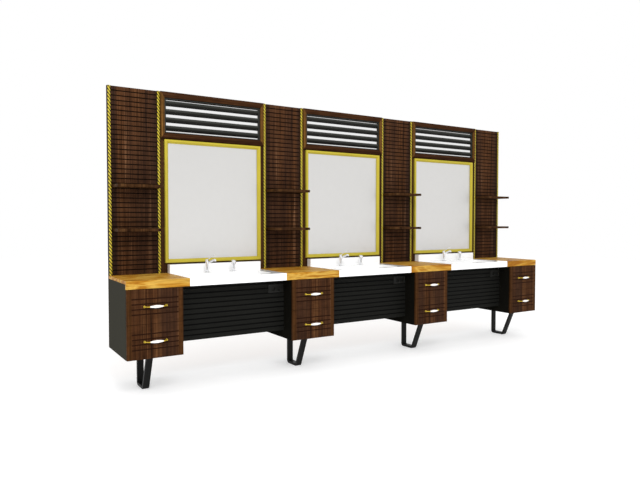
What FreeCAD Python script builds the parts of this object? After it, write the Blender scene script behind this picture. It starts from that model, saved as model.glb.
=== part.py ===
import FreeCAD, Part
import math
import os
import Sketcher

# Three-place wall station for a salon. Four walnut columns carry rope mouldings and shelves,
# three bays between them carry a mirror under a louvred light box, and four drawer cabinets
# stand on flat-bar legs with oak worktops and three basins between them.
# X runs along the wall, +Y points to the room wall behind, +Z is up, the floor is Z = 0 and the
# origin is in the middle of the bounding box's underside.

DIMENSIONS = {
    # overall
    "bay_pitch": 1200,
    "column_width": 370,
    "total_height": 2085,
    "board_thick": 18,
    "cabinet_depth": 484,
    "cabinet_base": 256,
    "worktop_level": 762,
    "worktop_thick": 53,
    "worktop_overhang": 48,
    "worktop_round": 3,
    # how far a cutter runs past the face it opens
    "overcut": 1,
    # wall cladding
    "cladding_first": 30,
    "cladding_pitch": 34,
    "groove_wide": 8,
    "groove_deep": 3,
    "rope_wide": 26,
    "shelf_depth": 170,
    "shelf_thick": 20,
    "shelf_gap": 2,
    "shelf_low": 1091,
    "shelf_spacing": 306,
    "shelf_round": 2,
    "pin_skin": 4,
    "pin_radius": 5,
    "pin_long": 44,
    "pin_spread": 200,
    "pin_clear": 0.1,
    "fixing_spread": 240,
    "fixing_radius": 4.25,
    "service_radius": 40,
    "service_level": 420,
    # mirror
    "mirror_margin": 28,
    "mirror_low": 836,
    "mirror_tall": 904,
    "frame_face": 27,
    "frame_deep": 21,
    "frame_lip": 8,
    "frame_seat": 8,
    "frame_bevel": 3,
    "frame_flat": 0.5,
    "glass_thick": 4,
    "glass_clear": 0.3,
    # louvred light box
    "surround_low": 1745,
    "surround_stile": 28,
    "surround_rail": 42,
    "surround_deep": 22,
    "surround_bevel": 2,
    "louvre_side": 14,
    "louvre_rail": 8,
    "louvre_deep": 10,
    "lightbox_deep": 14,
    "slat_count": 4,
    "slat_first": 13,
    "slat_pitch": 60,
    "slat_face": 18,
    "slat_drop": 20,
    "slat_deep": 16,
    "diffuser_thick": 3,
    "diffuser_back": 3,
    "strip_wide": 10,
    "strip_thick": 1.5,
    "strip_end": 20,
    # cabinets
    "carcass_board": 18,
    "end_side_rise": 33,
    "carcass_back": 8,
    "stretcher_deep": 80,
    "hanger_tall": 90,
    "front_thick": 18,
    "front_gap": 2,
    "front_side": 1,
    "front_clear": 2,
    "front_stile": 32,
    "front_groove_pitch": 33,
    "front_groove_count": 4,
    "drawer_board": 12,
    "drawer_base": 6,
    "drawer_tall": 130,
    "drawer_long": 425,
    "drawer_lift": 32,
    "runner_gap": 12.7,
    "runner_tall": 45,
    "runner_long": 410,
    "runner_deep": 8,
    "runner_wall": 1.5,
    "runner_clear": 0.4,
    "runner_setback": 2,
    # handles
    "handle_centres": 142,
    "handle_standoff": 28,
    "grip_long": 88,
    "grip_radius": 10.5,
    "grip_end": 4.2,
    "elbow_out": 6,
    "elbow_radius": 5,
    "neck_radius": 3.6,
    "arm_radius": 3.6,
    "knob_radius": 7,
    "knob_lift": 7.5,
    "rose_radius": 8,
    "rose_thick": 2,
    # legs
    "leg_offset": 155,
    "leg_wide": 45,
    "leg_bar": 20,
    "leg_back": 116,
    "leg_foot": 150,
    "leg_top": 260,
    "leg_bend": 26,
    "screw_radius": 2.5,
    "screw_head": 4.5,
    "screw_head_tall": 2.5,
    "screw_grip": 12,
    "screw_clear": 0.25,
    "screw_spread": 150,
    "pilot_clear": 0.05,
    "pilot_spare": 0.5,
    # knee panels and sockets
    "knee_setback": 134,
    "knee_base": 316,
    "knee_thick": 18,
    "knee_groove_first": 30,
    "knee_groove_pitch": 36.3,
    "knee_groove_count": 10,
    "knee_groove_wide": 9,
    "knee_groove_deep": 5,
    "bearer_lap": 4,
    "bearer_inset": 30,
    "bearer_deep": 28,
    "socket_wide": 125,
    "socket_tall": 62,
    "socket_plate": 6,
    "socket_edge": 8,
    "socket_below": 40,
    "socket_box_wide": 96,
    "socket_box_tall": 44,
    "socket_box_deep": 42,
    "socket_clear": 0.5,
    "socket_well": 19.5,
    "socket_well_deep": 12,
    "socket_well_spread": 48,
    # basins
    "basin_wall": 12,
    "ledge_deep": 52,
    "ledge_tall": 63,
    "tray_side": 85,
    "tray_front": 45,
    "tap_deck": 100,
    "tray_sink": 26,
    "tray_corner": 60,
    "well_side": 60,
    "well_clear": 14,
    "well_rear": 18,
    "well_sink": 120,
    "well_corner": 50,
    "rim_round": 4,
    "well_round": 16,
    "corner_share": 0.4,
    # taps, sprays and wastes
    "tap_offset": 108,
    "tap_back": 119,
    "tap_aim": 45,
    "tap_radius": 13,
    "tap_foot": 9.5,
    "tap_flange": 22,
    "tap_flange_tall": 5,
    "tap_tall": 84,
    "tap_shank": 12,
    "tap_shank_long": 60,
    "tap_hole": 13,
    "tap_nut": 20,
    "tap_nut_tall": 8,
    "spout_level": 67,
    "spout_reach": 65,
    "spout_rise": 26,
    "spout_root": 9,
    "spout_tip": 8,
    "aerator_radius": 7.5,
    "aerator_long": 11,
    "cap_gap": 0.3,
    "cap_tall": 13,
    "cap_pivot": 8,
    "cap_cheek": 2,
    "knuckle_radius": 5,
    "knuckle_clear": 1,
    "lever_wide": 12,
    "lever_thick": 5,
    "lever_long": 88,
    "lever_rise": 34,
    "lever_clear": 0.3,
    "pivot_radius": 2,
    "pivot_clear": 0.05,
    "spray_offset": 106,
    "spray_radius": 18.5,
    "spray_tall": 80,
    "spray_neck": 13,
    "spray_neck_tall": 36,
    "spray_taper_tall": 12,
    "spray_stem": 11.8,
    "spray_stem_long": 22,
    "spray_tail": 6,
    "spray_tail_long": 18,
    "holder_radius": 21,
    "holder_tall": 5,
    "holder_bore": 12,
    "holder_shank": 14.8,
    "holder_shank_long": 26,
    "holder_hole": 15,
    "waste_flange": 34,
    "waste_flange_tall": 3,
    "waste_radius": 21,
    "waste_hole": 21.5,
    "waste_nut": 31,
    "waste_nut_tall": 12,
    "waste_tail": 16,
    "waste_tail_long": 70,
    "waste_bore": 14,
    "waste_slot": 5,
    "waste_slot_pitch": 8,
    "waste_slots": 5,
    "waste_roof": 2,
}

BAYS = 3
COLUMNS = BAYS + 1
MITRE_CORNERS = 4
# Room either side of a line within which an edge's middle counts as lying on it.
PICK = 2

doc = FreeCAD.newDocument("salon_station")
sheet = doc.addObject("Spreadsheet::Sheet", "Dims")
sheet.Label = "Dims"
for row, (alias, number) in enumerate(DIMENSIONS.items(), start=1):
    sheet.set(f"A{row}", alias)
    sheet.set(f"B{row}", str(number))
    sheet.setAlias(f"B{row}", alias)
doc.recompute()


def evaluate(expression):
    """The present value of an expression on the sheet, in millimetres."""
    return float(sheet.evalExpression(str(expression)))


def size(alias):
    """One driving dimension as a number."""
    return float(sheet.get(alias))


# Planes and stations that several pieces share.
HALF_LENGTH = f"(({BAYS} * Dims.bay_pitch + Dims.column_width) / 2)"
BACK = "((Dims.board_thick + Dims.cabinet_depth + Dims.handle_standoff + Dims.grip_radius) / 2)"
WALL = f"({BACK} - Dims.board_thick)"
FRONT = f"({WALL} - Dims.cabinet_depth)"
WORKTOP_BASE = "(Dims.worktop_level - Dims.worktop_thick)"
BAY_WIDTH = "(Dims.bay_pitch - Dims.column_width)"
BASIN_WIDTH = f"({BAY_WIDTH} - 2 * Dims.worktop_overhang)"
CABINET_TALL = f"({WORKTOP_BASE} - Dims.cabinet_base)"
FRONT_TALL = f"(({CABINET_TALL} - 2 * Dims.front_gap) / 2)"
CARCASS_DEEP = "(Dims.cabinet_depth - Dims.front_thick - Dims.front_clear)"
DECK_BASE = "(Dims.worktop_level - Dims.basin_wall)"
KNEE_FRONT = f"({FRONT} + Dims.knee_setback)"


def column_left(index):
    return f"({index} * Dims.bay_pitch - {HALF_LENGTH})"


def column_centre(index):
    return f"({column_left(index)} + Dims.column_width / 2)"


def bay_left(index):
    return f"({column_left(index)} + Dims.column_width)"


def bay_centre(index):
    return f"({bay_left(index)} + {BAY_WIDTH} / 2)"


# ---------------------------------------------------------------- building blocks

def bind(thing, prop, expression):
    thing.setExpression(prop, str(expression))


def put(thing, x, y, z):
    bind(thing, "Placement.Base.x", x)
    bind(thing, "Placement.Base.y", y)
    bind(thing, "Placement.Base.z", z)
    return thing


def turn(thing, axis, angle):
    thing.Placement = FreeCAD.Placement(FreeCAD.Vector(), FreeCAD.Rotation(axis, angle))
    return thing


ALONG_X = (FreeCAD.Vector(0, 1, 0), 90)
ALONG_Y = (FreeCAD.Vector(1, 0, 0), -90)
ALONG_FRONT = (FreeCAD.Vector(1, 0, 0), 90)


def block(name, x, y, z, length, width, height):
    """Part::Box from its lowest corner and its sizes along X, Y and Z."""
    thing = doc.addObject("Part::Box", name)
    bind(thing, "Length", length)
    bind(thing, "Width", width)
    bind(thing, "Height", height)
    return put(thing, x, y, z)


def rod(name, x, y, z, radius, height, direction=None):
    """Part::Cylinder from the centre of its first face; it stands up unless turned."""
    thing = doc.addObject("Part::Cylinder", name)
    bind(thing, "Radius", radius)
    bind(thing, "Height", height)
    if direction:
        turn(thing, *direction)
    return put(thing, x, y, z)


def cone(name, x, y, z, radius_low, radius_high, height, direction=None):
    thing = doc.addObject("Part::Cone", name)
    bind(thing, "Radius1", radius_low)
    bind(thing, "Radius2", radius_high)
    bind(thing, "Height", height)
    if direction:
        turn(thing, *direction)
    return put(thing, x, y, z)


def ball(name, x, y, z, radius):
    """Part::Sphere whose seam faces the front, clear of what joins it from other sides."""
    thing = doc.addObject("Part::Sphere", name)
    bind(thing, "Radius", radius)
    turn(thing, FreeCAD.Vector(0, 0, 1), -90)
    return put(thing, x, y, z)


def cut(name, base, tools):
    tool = tools[0] if len(tools) == 1 else fuse(name + "_tools", tools)
    thing = doc.addObject("Part::Cut", name)
    thing.Base = base
    thing.Tool = tool
    return thing


def fuse(name, things):
    thing = doc.addObject("Part::MultiFuse", name)
    thing.Shapes = things
    return thing


def common(name, things):
    thing = doc.addObject("Part::MultiCommon", name)
    thing.Shapes = things
    return thing


NODES = []


def node(name, things):
    """One sub-part: a single object, or several separate solids held in a compound."""
    if len(things) == 1:
        thing = things[0]
    else:
        thing = doc.addObject("Part::Compound", name + "_group")
        thing.Links = things
    thing.Label = name
    NODES.append(thing)
    return thing


def origin_plane(body, role):
    return [item for item in body.Origin.OriginFeatures if item.Role == role][0]


def new_body(name, x, y, z):
    body = doc.addObject("PartDesign::Body", name)
    return put(body, x, y, z)


def new_sketch(body, name, role, offset=None):
    sketch = body.newObject("Sketcher::SketchObject", name)
    sketch.AttachmentSupport = [(origin_plane(body, role), "")]
    sketch.MapMode = "FlatFace"
    if offset:
        bind(sketch, "AttachmentOffset.Base.z", offset)
    return sketch


def place_point(sketch, geometry, point, across, up):
    """Tie one point of a sketch to the sketch's origin by two bound distances."""
    for kind, expression in (("DistanceX", across), ("DistanceY", up)):
        number = evaluate(expression)
        row = sketch.addConstraint(Sketcher.Constraint(kind, -1, 1, geometry, point, number))
        sketch.setExpression(f"Constraints[{row}]", str(expression))


def polygon(sketch, points):
    """A closed outline whose corners follow expressions across and up the sketch."""
    corners = [FreeCAD.Vector(evaluate(a), evaluate(b), 0) for a, b in points]
    first = sketch.GeometryCount
    count = len(corners)
    for number in range(count):
        following = corners[(number + 1) % count]
        sketch.addGeometry(Part.LineSegment(corners[number], following), False)
    for number in range(count):
        following = first + (number + 1) % count
        sketch.addConstraint(Sketcher.Constraint("Coincident", first + number, 2, following, 1))
    for number, (across, up) in enumerate(points):
        place_point(sketch, first + number, 1, across, up)
    return sketch


def oblong(sketch, left, low, wide, tall):
    right = f"({left} + {wide})"
    high = f"({low} + {tall})"
    return polygon(sketch, [(left, low), (right, low), (right, high), (left, high)])


def pad(body, sketch, length, reverse=False, midplane=False):
    feature = body.newObject("PartDesign::Pad", sketch.Name + "_pad")
    feature.Profile = sketch
    bind(feature, "Length", length)
    feature.Reversed = reverse
    feature.Midplane = midplane
    return feature


def pocket(body, sketch, length, reverse=False):
    feature = body.newObject("PartDesign::Pocket", sketch.Name + "_pocket")
    feature.Profile = sketch
    bind(feature, "Length", length)
    feature.Reversed = reverse
    return feature


def pattern_down(body, feature, sketch, pitch, count):
    """Repeat a feature below itself, one pitch apart."""
    repeat = body.newObject("PartDesign::LinearPattern", feature.Name + "_pattern")
    repeat.Originals = [feature]
    repeat.Direction = (sketch, ["V_Axis"])
    repeat.Reversed = True
    bind(repeat, "Length", f"{pitch} * ({count} - 1)")
    bind(repeat, "Occurrences", count)
    body.Tip = repeat
    return repeat


def edges_along(shape, direction, keep):
    """Names of the straight edges along a direction whose middle passes a test."""
    names = []
    for number, edge in enumerate(shape.Edges, start=1):
        if len(edge.Vertexes) != 2:
            continue
        run = edge.Vertexes[1].Point - edge.Vertexes[0].Point
        if run.Length < 1e-6 or abs(run.normalize().dot(direction)) < 0.999:
            continue
        if keep(edge.CenterOfMass):
            names.append(f"Edge{number}")
    return names


def round_edges(body, base, names, radius):
    feature = body.newObject("PartDesign::Fillet", base.Name + "_round")
    feature.Base = (base, names)
    bind(feature, "Radius", radius)
    return feature


# ---------------------------------------------------------------- wall

def grooved_board(name, x, y, z, wide, tall, thick, groove):
    """Upright board, front face at local Y = 0, with a ladder of level grooves in its face.

    groove holds the left end, length, height, depth, first level, pitch and count.
    """
    body = new_body(name, x, y, z)
    outline = oblong(new_sketch(body, name + "_outline", "XZ_Plane"), "0", "0", wide, tall)
    pad(body, outline, thick, reverse=True)
    first = f"({groove['first']} - {groove['wide']} / 2)"
    line = new_sketch(body, name + "_groove", "XZ_Plane")
    oblong(line, groove["left"], first, groove["length"], groove["wide"])
    slot = pocket(body, line, groove["deep"])
    pattern_down(body, slot, line, groove["pitch"], groove["count"])
    return body


WALL_TALL = "(Dims.total_height - Dims.cabinet_base)"
CLADDING_COUNT = (
    "floor((Dims.total_height - Dims.worktop_level - Dims.cladding_first) / Dims.cladding_pitch)"
)
SHELF_LENGTH = "(Dims.column_width - 2 * Dims.rope_wide - 2 * Dims.shelf_gap)"
SHELF_TOPS = ["Dims.shelf_low", "(Dims.shelf_low + Dims.shelf_spacing)"]
HANGER_LEVEL = f"({WORKTOP_BASE} - Dims.hanger_tall / 2)"
PIN_SPAN = "(Dims.pin_spread / 2)"
PIN_SEAT = "(Dims.board_thick - Dims.pin_skin + Dims.overcut)"
FIXING_SPAN = "(Dims.fixing_spread / 2)"
SIDES = {"left": -1, "right": 1}


def shelf_level(top):
    return f"({top} - Dims.shelf_thick / 2)"


def pin_hole(name, x, y, z, depth):
    return rod(name, x, y, z, "Dims.pin_radius + Dims.pin_clear", depth, ALONG_Y)


def fixing_hole(name, x, y):
    through = "Dims.board_thick + Dims.carcass_board + 2 * Dims.overcut"
    return rod(name, x, y, HANGER_LEVEL, "Dims.fixing_radius", through, ALONG_Y)


def column_panel(index):
    name = f"column_panel_{index + 1}"
    groove = {
        "left": "Dims.rope_wide",
        "length": "(Dims.column_width - 2 * Dims.rope_wide)",
        "wide": "Dims.groove_wide",
        "deep": "Dims.groove_deep",
        "first": f"({WALL_TALL} - Dims.cladding_first)",
        "pitch": "Dims.cladding_pitch",
        "count": CLADDING_COUNT,
    }
    left = column_left(index)
    board = grooved_board(name + "_board", left, WALL, "Dims.cabinet_base", "Dims.column_width",
                          WALL_TALL, "Dims.board_thick", groove)
    holes = []
    for side, sign in SIDES.items():
        across = f"({column_centre(index)} + {sign} * {PIN_SPAN})"
        for step, top in enumerate(SHELF_TOPS):
            label = f"{name}_pin_hole_{side}_{step}"
            start = f"({WALL} - Dims.overcut)"
            holes.append(pin_hole(label, across, start, shelf_level(top), PIN_SEAT))
        across = f"({column_centre(index)} + {sign} * {FIXING_SPAN})"
        holes.append(fixing_hole(f"{name}_fixing_{side}", across, f"({WALL} - Dims.overcut)"))
    return cut(name, board, holes)


def rope_moulding(index, side):
    """Half-round moulding along one edge of a column."""
    name = f"rope_{index + 1}_{side}"
    edge = {"left": "Dims.rope_wide / 2", "right": "Dims.column_width - Dims.rope_wide / 2"}[side]
    across = f"({column_left(index)} + {edge})"
    tall = "(Dims.total_height - Dims.worktop_level)"
    bar = rod(name + "_bar", across, WALL, "Dims.worktop_level", "Dims.rope_wide / 2", tall)
    half = block(name + "_half", f"({across} - Dims.rope_wide)", f"({WALL} - Dims.rope_wide)",
                 "Dims.worktop_level", "2 * Dims.rope_wide", "Dims.rope_wide", tall)
    return common(name, [bar, half])


def shelf(index, step, top):
    name = f"shelf_{index + 1}_{step + 1}"
    left = f"({column_left(index)} + Dims.rope_wide + Dims.shelf_gap)"
    body = new_body(name + "_board", left, f"({WALL} - Dims.shelf_depth)",
                    f"({top} - Dims.shelf_thick)")
    outline = oblong(new_sketch(body, name + "_outline", "XY_Plane"), "0", "0",
                     SHELF_LENGTH, "Dims.shelf_depth")
    slab = pad(body, outline, "Dims.shelf_thick")
    doc.recompute()
    along = FreeCAD.Vector(1, 0, 0)
    names = edges_along(slab.Shape, along, lambda middle: middle.y < size("shelf_depth") / 2)
    round_edges(body, slab, names, "Dims.shelf_round")
    holes = []
    for side, sign in SIDES.items():
        across = f"({column_centre(index)} + {sign} * {PIN_SPAN})"
        start = f"({WALL} - Dims.pin_long + Dims.board_thick - Dims.pin_skin)"
        holes.append(pin_hole(f"{name}_hole_{side}", across, start, shelf_level(top),
                              "Dims.pin_long"))
    return cut(name, body, holes)


def shelf_pins(index, step, top):
    pins = []
    for side, sign in SIDES.items():
        across = f"({column_centre(index)} + {sign} * {PIN_SPAN})"
        start = f"({WALL} - Dims.pin_long + Dims.board_thick - Dims.pin_skin)"
        pins.append(rod(f"pin_{index + 1}_{step + 1}_{side}", across, start, shelf_level(top),
                        "Dims.pin_radius", "Dims.pin_long", ALONG_Y))
    return pins


LOUVRE_WIDE = f"({BAY_WIDTH} - 2 * Dims.surround_stile)"
LOUVRE_LOW = "(Dims.surround_low + Dims.surround_rail)"
LOUVRE_HIGH = "(Dims.total_height - Dims.surround_rail)"
LOUVRE_TALL = f"({LOUVRE_HIGH} - {LOUVRE_LOW})"
LIGHT_WIDE = f"({LOUVRE_WIDE} - 2 * Dims.louvre_side)"
LIGHT_LOW = f"({LOUVRE_LOW} + Dims.louvre_rail)"
LIGHT_TALL = f"({LOUVRE_TALL} - 2 * Dims.louvre_rail)"


def light_left(index):
    return f"({bay_left(index)} + Dims.surround_stile + Dims.louvre_side)"


def bay_panel(index):
    """Smooth board of one bay, recessed for the light box and drilled for the water pipes."""
    name = f"bay_panel_{index + 1}"
    board = block(name + "_board", bay_left(index), WALL, "Dims.cabinet_base", BAY_WIDTH,
                  "Dims.board_thick", WALL_TALL)
    recess = block(name + "_recess", light_left(index), f"({WALL} - Dims.overcut)", LIGHT_LOW, LIGHT_WIDE,
                   "Dims.lightbox_deep + Dims.overcut", LIGHT_TALL)
    port = rod(name + "_port", bay_centre(index), f"({WALL} - Dims.overcut)", "Dims.service_level",
               "Dims.service_radius", "Dims.board_thick + 2 * Dims.overcut", ALONG_Y)
    return cut(name, board, [recess, port])


def mitred_bars(name, left, right, low, high, stile, rail, profile):
    """Four bars of one section, joined by mitres, standing forward of the wall boards.

    profile lists (share of the bar's width from its outer edge, height off the board).
    """
    plane = evaluate(WALL)
    deep = max(lift for share, lift in profile)
    outer = [FreeCAD.Vector(x, plane, z) for x, z in
             ((left, low), (right, low), (right, high), (left, high))]
    inner = [FreeCAD.Vector(x, plane, z) for x, z in
             ((left + stile, low + rail), (right - stile, low + rail),
              (right - stile, high - rail), (left + stile, high - rail))]
    inward = [FreeCAD.Vector(0, 0, rail), FreeCAD.Vector(-stile, 0, 0),
              FreeCAD.Vector(0, 0, -rail), FreeCAD.Vector(stile, 0, 0)]
    bars = []
    for number in range(MITRE_CORNERS):
        after = (number + 1) % MITRE_CORNERS
        start = outer[number]
        section = [start + inward[number] * share + FreeCAD.Vector(0, -lift, 0)
                   for share, lift in profile]
        run = Part.Face(Part.makePolygon(section + section[:1])).extrude(outer[after] - start)
        corners = [start, outer[after], inner[after], inner[number], start]
        mitre = Part.Face(Part.makePolygon(corners)).extrude(FreeCAD.Vector(0, -deep, 0))
        bar = doc.addObject("Part::Feature", f"{name}_bar_{number + 1}")
        bar.Shape = run.common(mitre)
        bars.append(bar)
    return bars


def mirror_frame(index):
    left = evaluate(bay_left(index)) + size("mirror_margin")
    right = evaluate(bay_left(index)) + evaluate(BAY_WIDTH) - size("mirror_margin")
    low = size("mirror_low")
    face = size("frame_face")
    deep = size("frame_deep")
    bevel = size("frame_bevel")
    flat = size("frame_flat")
    seat = 1 - size("frame_seat") / face
    rebate = size("glass_thick") + size("glass_clear")
    profile = [(0, 0), (0, deep - bevel), (bevel / face, deep), (flat, deep),
               (1, size("frame_lip")), (1, rebate), (seat, rebate), (seat, 0)]
    return mitred_bars(f"mirror_frame_{index + 1}", left, right, low, low + size("mirror_tall"),
                       face, face, profile)


def mirror_glass(index):
    inset = "(Dims.mirror_margin + Dims.frame_face - Dims.frame_seat + Dims.glass_clear)"
    rise = "(Dims.frame_face - Dims.frame_seat + Dims.glass_clear)"
    return block(f"mirror_glass_{index + 1}", f"{bay_left(index)} + {inset}",
                 f"({WALL} - Dims.glass_thick)", f"Dims.mirror_low + {rise}",
                 f"{BAY_WIDTH} - 2 * {inset}", "Dims.glass_thick",
                 f"Dims.mirror_tall - 2 * {rise}")


def louvre_surround(index):
    left = evaluate(bay_left(index))
    deep = size("surround_deep")
    bevel = size("surround_bevel")
    share = bevel / size("surround_stile")
    profile = [(0, 0), (0, deep - bevel), (share, deep), (1 - share, deep), (1, deep - bevel),
               (1, 0)]
    return mitred_bars(f"surround_{index + 1}", left, left + evaluate(BAY_WIDTH),
                       size("surround_low"), size("total_height"), size("surround_stile"),
                       size("surround_rail"), profile)


def louvre_frame(index):
    name = f"louvre_frame_{index + 1}"
    left = f"({bay_left(index)} + Dims.surround_stile)"
    plate = block(name + "_plate", left, f"({WALL} - Dims.louvre_deep)", LOUVRE_LOW,
                  LOUVRE_WIDE, "Dims.louvre_deep", LOUVRE_TALL)
    window = block(name + "_window", light_left(index), f"({WALL} - Dims.louvre_deep - Dims.overcut)",
                   LIGHT_LOW, LIGHT_WIDE, "Dims.louvre_deep + 2 * Dims.overcut", LIGHT_TALL)
    return cut(name, plate, [window])


def louvre_slat(index, number):
    """Blade whose front edge is a flat face and whose body falls away towards the diffuser."""
    name = f"slat_{index + 1}_{number + 1}"
    top = f"({LIGHT_LOW} + {LIGHT_TALL} - Dims.slat_first - {number} * Dims.slat_pitch)"
    body = new_body(name, light_left(index), f"({WALL} - Dims.louvre_deep)", top)
    section = new_sketch(body, name + "_section", "YZ_Plane")
    polygon(section, [("0", "0"), ("0", "-Dims.slat_face"),
                      ("Dims.slat_deep", "-Dims.slat_face - Dims.slat_drop"),
                      ("Dims.slat_deep", "-Dims.slat_drop")])
    pad(body, section, LIGHT_WIDE)
    return body


def diffuser(index):
    back = f"({WALL} + Dims.lightbox_deep - Dims.diffuser_back - Dims.diffuser_thick)"
    return block(f"diffuser_{index + 1}", light_left(index), back, LIGHT_LOW, LIGHT_WIDE,
                 "Dims.diffuser_thick", LIGHT_TALL)


def led_strips(index):
    """Two light strips on the floor of the recess, a quarter of its height from each edge."""
    strips = []
    for step, share in (("low", 1), ("high", 3)):
        level = f"({LIGHT_LOW} + {share} * {LIGHT_TALL} / 4 - Dims.strip_wide / 2)"
        back = f"({WALL} + Dims.lightbox_deep - Dims.strip_thick)"
        strips.append(block(f"led_strip_{index + 1}_{step}",
                            f"{light_left(index)} + Dims.strip_end", back, level,
                            f"{LIGHT_WIDE} - 2 * Dims.strip_end", "Dims.strip_thick",
                            "Dims.strip_wide"))
    return strips


# ---------------------------------------------------------------- cabinets

INNER_WIDE = "(Dims.column_width - 2 * Dims.carcass_board)"
CARCASS_FRONT = f"({FRONT} + Dims.front_thick + Dims.front_clear)"
SCREW_LEVEL = "(Dims.cabinet_base + Dims.screw_grip)"
LEG_MIDDLE = f"({WALL} - Dims.leg_back - Dims.leg_top / 2)"
OUTER_SIDES = {0: "left", BAYS: "right"}


def screw_places(index):
    across = f"({column_left(index)} + Dims.leg_offset + Dims.leg_wide / 2)"
    for side, sign in SIDES.items():
        for way, turn_sign in SIDES.items():
            x = f"({across} + {sign} * Dims.leg_wide / 4)"
            y = f"({LEG_MIDDLE} + {turn_sign} * Dims.screw_spread / 2)"
            yield f"{side}_{way}", x, y


def carcass(index):
    """Two sides, a base, a back, a front stretcher and the rail that hangs on the wall."""
    name = f"carcass_{index + 1}"
    left = column_left(index)
    inner = f"({left} + Dims.carcass_board)"
    base = "Dims.cabinet_base"
    board = "Dims.carcass_board"
    parts = []
    for side, x in (("left", left), ("right", f"({left} + Dims.column_width - {board})")):
        rise = "Dims.end_side_rise" if OUTER_SIDES.get(index) == side else "0"
        parts.append(block(f"{name}_{side}", x, CARCASS_FRONT, base, board, CARCASS_DEEP,
                           f"{CABINET_TALL} + {rise}"))
    floor = block(f"{name}_base_board", inner, CARCASS_FRONT, base, INNER_WIDE, CARCASS_DEEP,
                  board)
    pilots = [rod(f"{name}_pilot_{place}", x, y, f"({base} - Dims.overcut)",
                  "Dims.screw_radius + Dims.pilot_clear",
                  "Dims.screw_grip + Dims.pilot_spare + Dims.overcut")
              for place, x, y in screw_places(index)]
    parts.append(cut(f"{name}_base", floor, pilots))
    hanger_low = f"({WORKTOP_BASE} - Dims.hanger_tall)"
    parts.append(block(f"{name}_back", inner, f"({WALL} - Dims.carcass_back)",
                       f"({base} + {board})", INNER_WIDE, "Dims.carcass_back",
                       f"{CABINET_TALL} - {board} - Dims.hanger_tall"))
    parts.append(block(f"{name}_stretcher", inner, CARCASS_FRONT, f"({WORKTOP_BASE} - {board})",
                       INNER_WIDE, "Dims.stretcher_deep", board))
    rail = block(f"{name}_rail", inner, f"({WALL} - {board})", hanger_low, INNER_WIDE, board,
                 "Dims.hanger_tall")
    holes = [fixing_hole(f"{name}_fixing_{side}",
                         f"({column_centre(index)} + {sign} * {FIXING_SPAN})",
                         f"({WALL} - {board} - Dims.overcut)") for side, sign in SIDES.items()]
    parts.append(cut(f"{name}_hanger", rail, holes))
    return parts


def worktop(index):
    """Solid oak slab over one cabinet, which reaches past the cabinet towards each basin."""
    reach_left = "0" if index == 0 else "Dims.worktop_overhang"
    reach_right = "0" if index == BAYS else "Dims.worktop_overhang"
    name = f"worktop_{index + 1}"
    body = new_body(name, f"{column_left(index)} - {reach_left}", FRONT, WORKTOP_BASE)
    outline = oblong(new_sketch(body, name + "_outline", "XY_Plane"), "0", "0",
                     f"(Dims.column_width + {reach_left} + {reach_right})", "Dims.cabinet_depth")
    slab = pad(body, outline, "Dims.worktop_thick")
    doc.recompute()
    along = FreeCAD.Vector(1, 0, 0)
    names = edges_along(slab.Shape, along, lambda middle: middle.y < size("cabinet_depth") / 2)
    round_edges(body, slab, names, "Dims.worktop_round")
    if index not in OUTER_SIDES:
        return body
    left = column_left(index)
    if OUTER_SIDES[index] == "right":
        left = f"({left} + Dims.column_width - Dims.carcass_board)"
    rebate = block(name + "_rebate", left, CARCASS_FRONT, WORKTOP_BASE, "Dims.carcass_board",
                   CARCASS_DEEP, "Dims.end_side_rise")
    return cut(name, body, [rebate])


def leg(index):
    """Steel bar bent to a closed loop: upright at the back, level foot, front arm leaning out."""
    name = f"leg_{index + 1}"
    tall = "Dims.cabinet_base"
    bar = "Dims.leg_bar"
    lean = f"((Dims.leg_top - Dims.leg_foot) / {tall})"
    slant = f"({bar} * sqrt(1 + {lean} * {lean}))"
    body = new_body(name + "_loop", f"{column_left(index)} + Dims.leg_offset",
                    f"({WALL} - Dims.leg_back)", "0")
    side = new_sketch(body, name + "_side", "YZ_Plane")
    polygon(side, [("0", "0"), ("-Dims.leg_foot", "0"), ("-Dims.leg_top", tall), ("0", tall)])
    plate = pad(body, side, "Dims.leg_wide")
    hollow = new_sketch(body, name + "_hollow", "YZ_Plane")
    low = f"(-Dims.leg_foot - {bar} * {lean} + {slant})"
    high = f"(-Dims.leg_top + {bar} * {lean} + {slant})"
    polygon(hollow, [(f"-{bar}", bar), (low, bar), (high, f"({tall} - {bar})"),
                     (f"-{bar}", f"({tall} - {bar})")])
    gap = body.newObject("PartDesign::Pocket", name + "_gap")
    gap.Profile = hollow
    gap.Type = 1
    gap.Reversed = True
    doc.recompute()
    along = FreeCAD.Vector(1, 0, 0)
    outer = edges_along(gap.Shape, along, lambda middle: middle.z < 1)
    bend = round_edges(body, gap, outer, "Dims.leg_bend")
    doc.recompute()
    level = size("leg_bar")
    inner = edges_along(bend.Shape, along, lambda middle: abs(middle.z - level) < 1e-3)
    round_edges(body, bend, inner, "(Dims.leg_bend - Dims.leg_bar)")
    holes = [rod(f"{name}_hole_{place}", x, y, f"({tall} - {bar} - Dims.overcut)",
                 "Dims.screw_radius + Dims.screw_clear", f"({bar} + 2 * Dims.overcut)")
             for place, x, y in screw_places(index)]
    return cut(name, body, holes)


def leg_screws(index):
    screws = []
    head_low = "(Dims.cabinet_base - Dims.leg_bar - Dims.screw_head_tall)"
    for place, x, y in screw_places(index):
        name = f"screw_{index + 1}_{place}"
        shank = rod(name + "_shank", x, y, head_low, "Dims.screw_radius",
                    "Dims.screw_head_tall + Dims.leg_bar + Dims.screw_grip")
        head = rod(name + "_head", x, y, head_low, "Dims.screw_head", "Dims.screw_head_tall")
        screws.append(fuse(name, [shank, head]))
    return screws


def front_low(step):
    return f"(Dims.cabinet_base + {step} * ({FRONT_TALL} + Dims.front_gap))"


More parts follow.
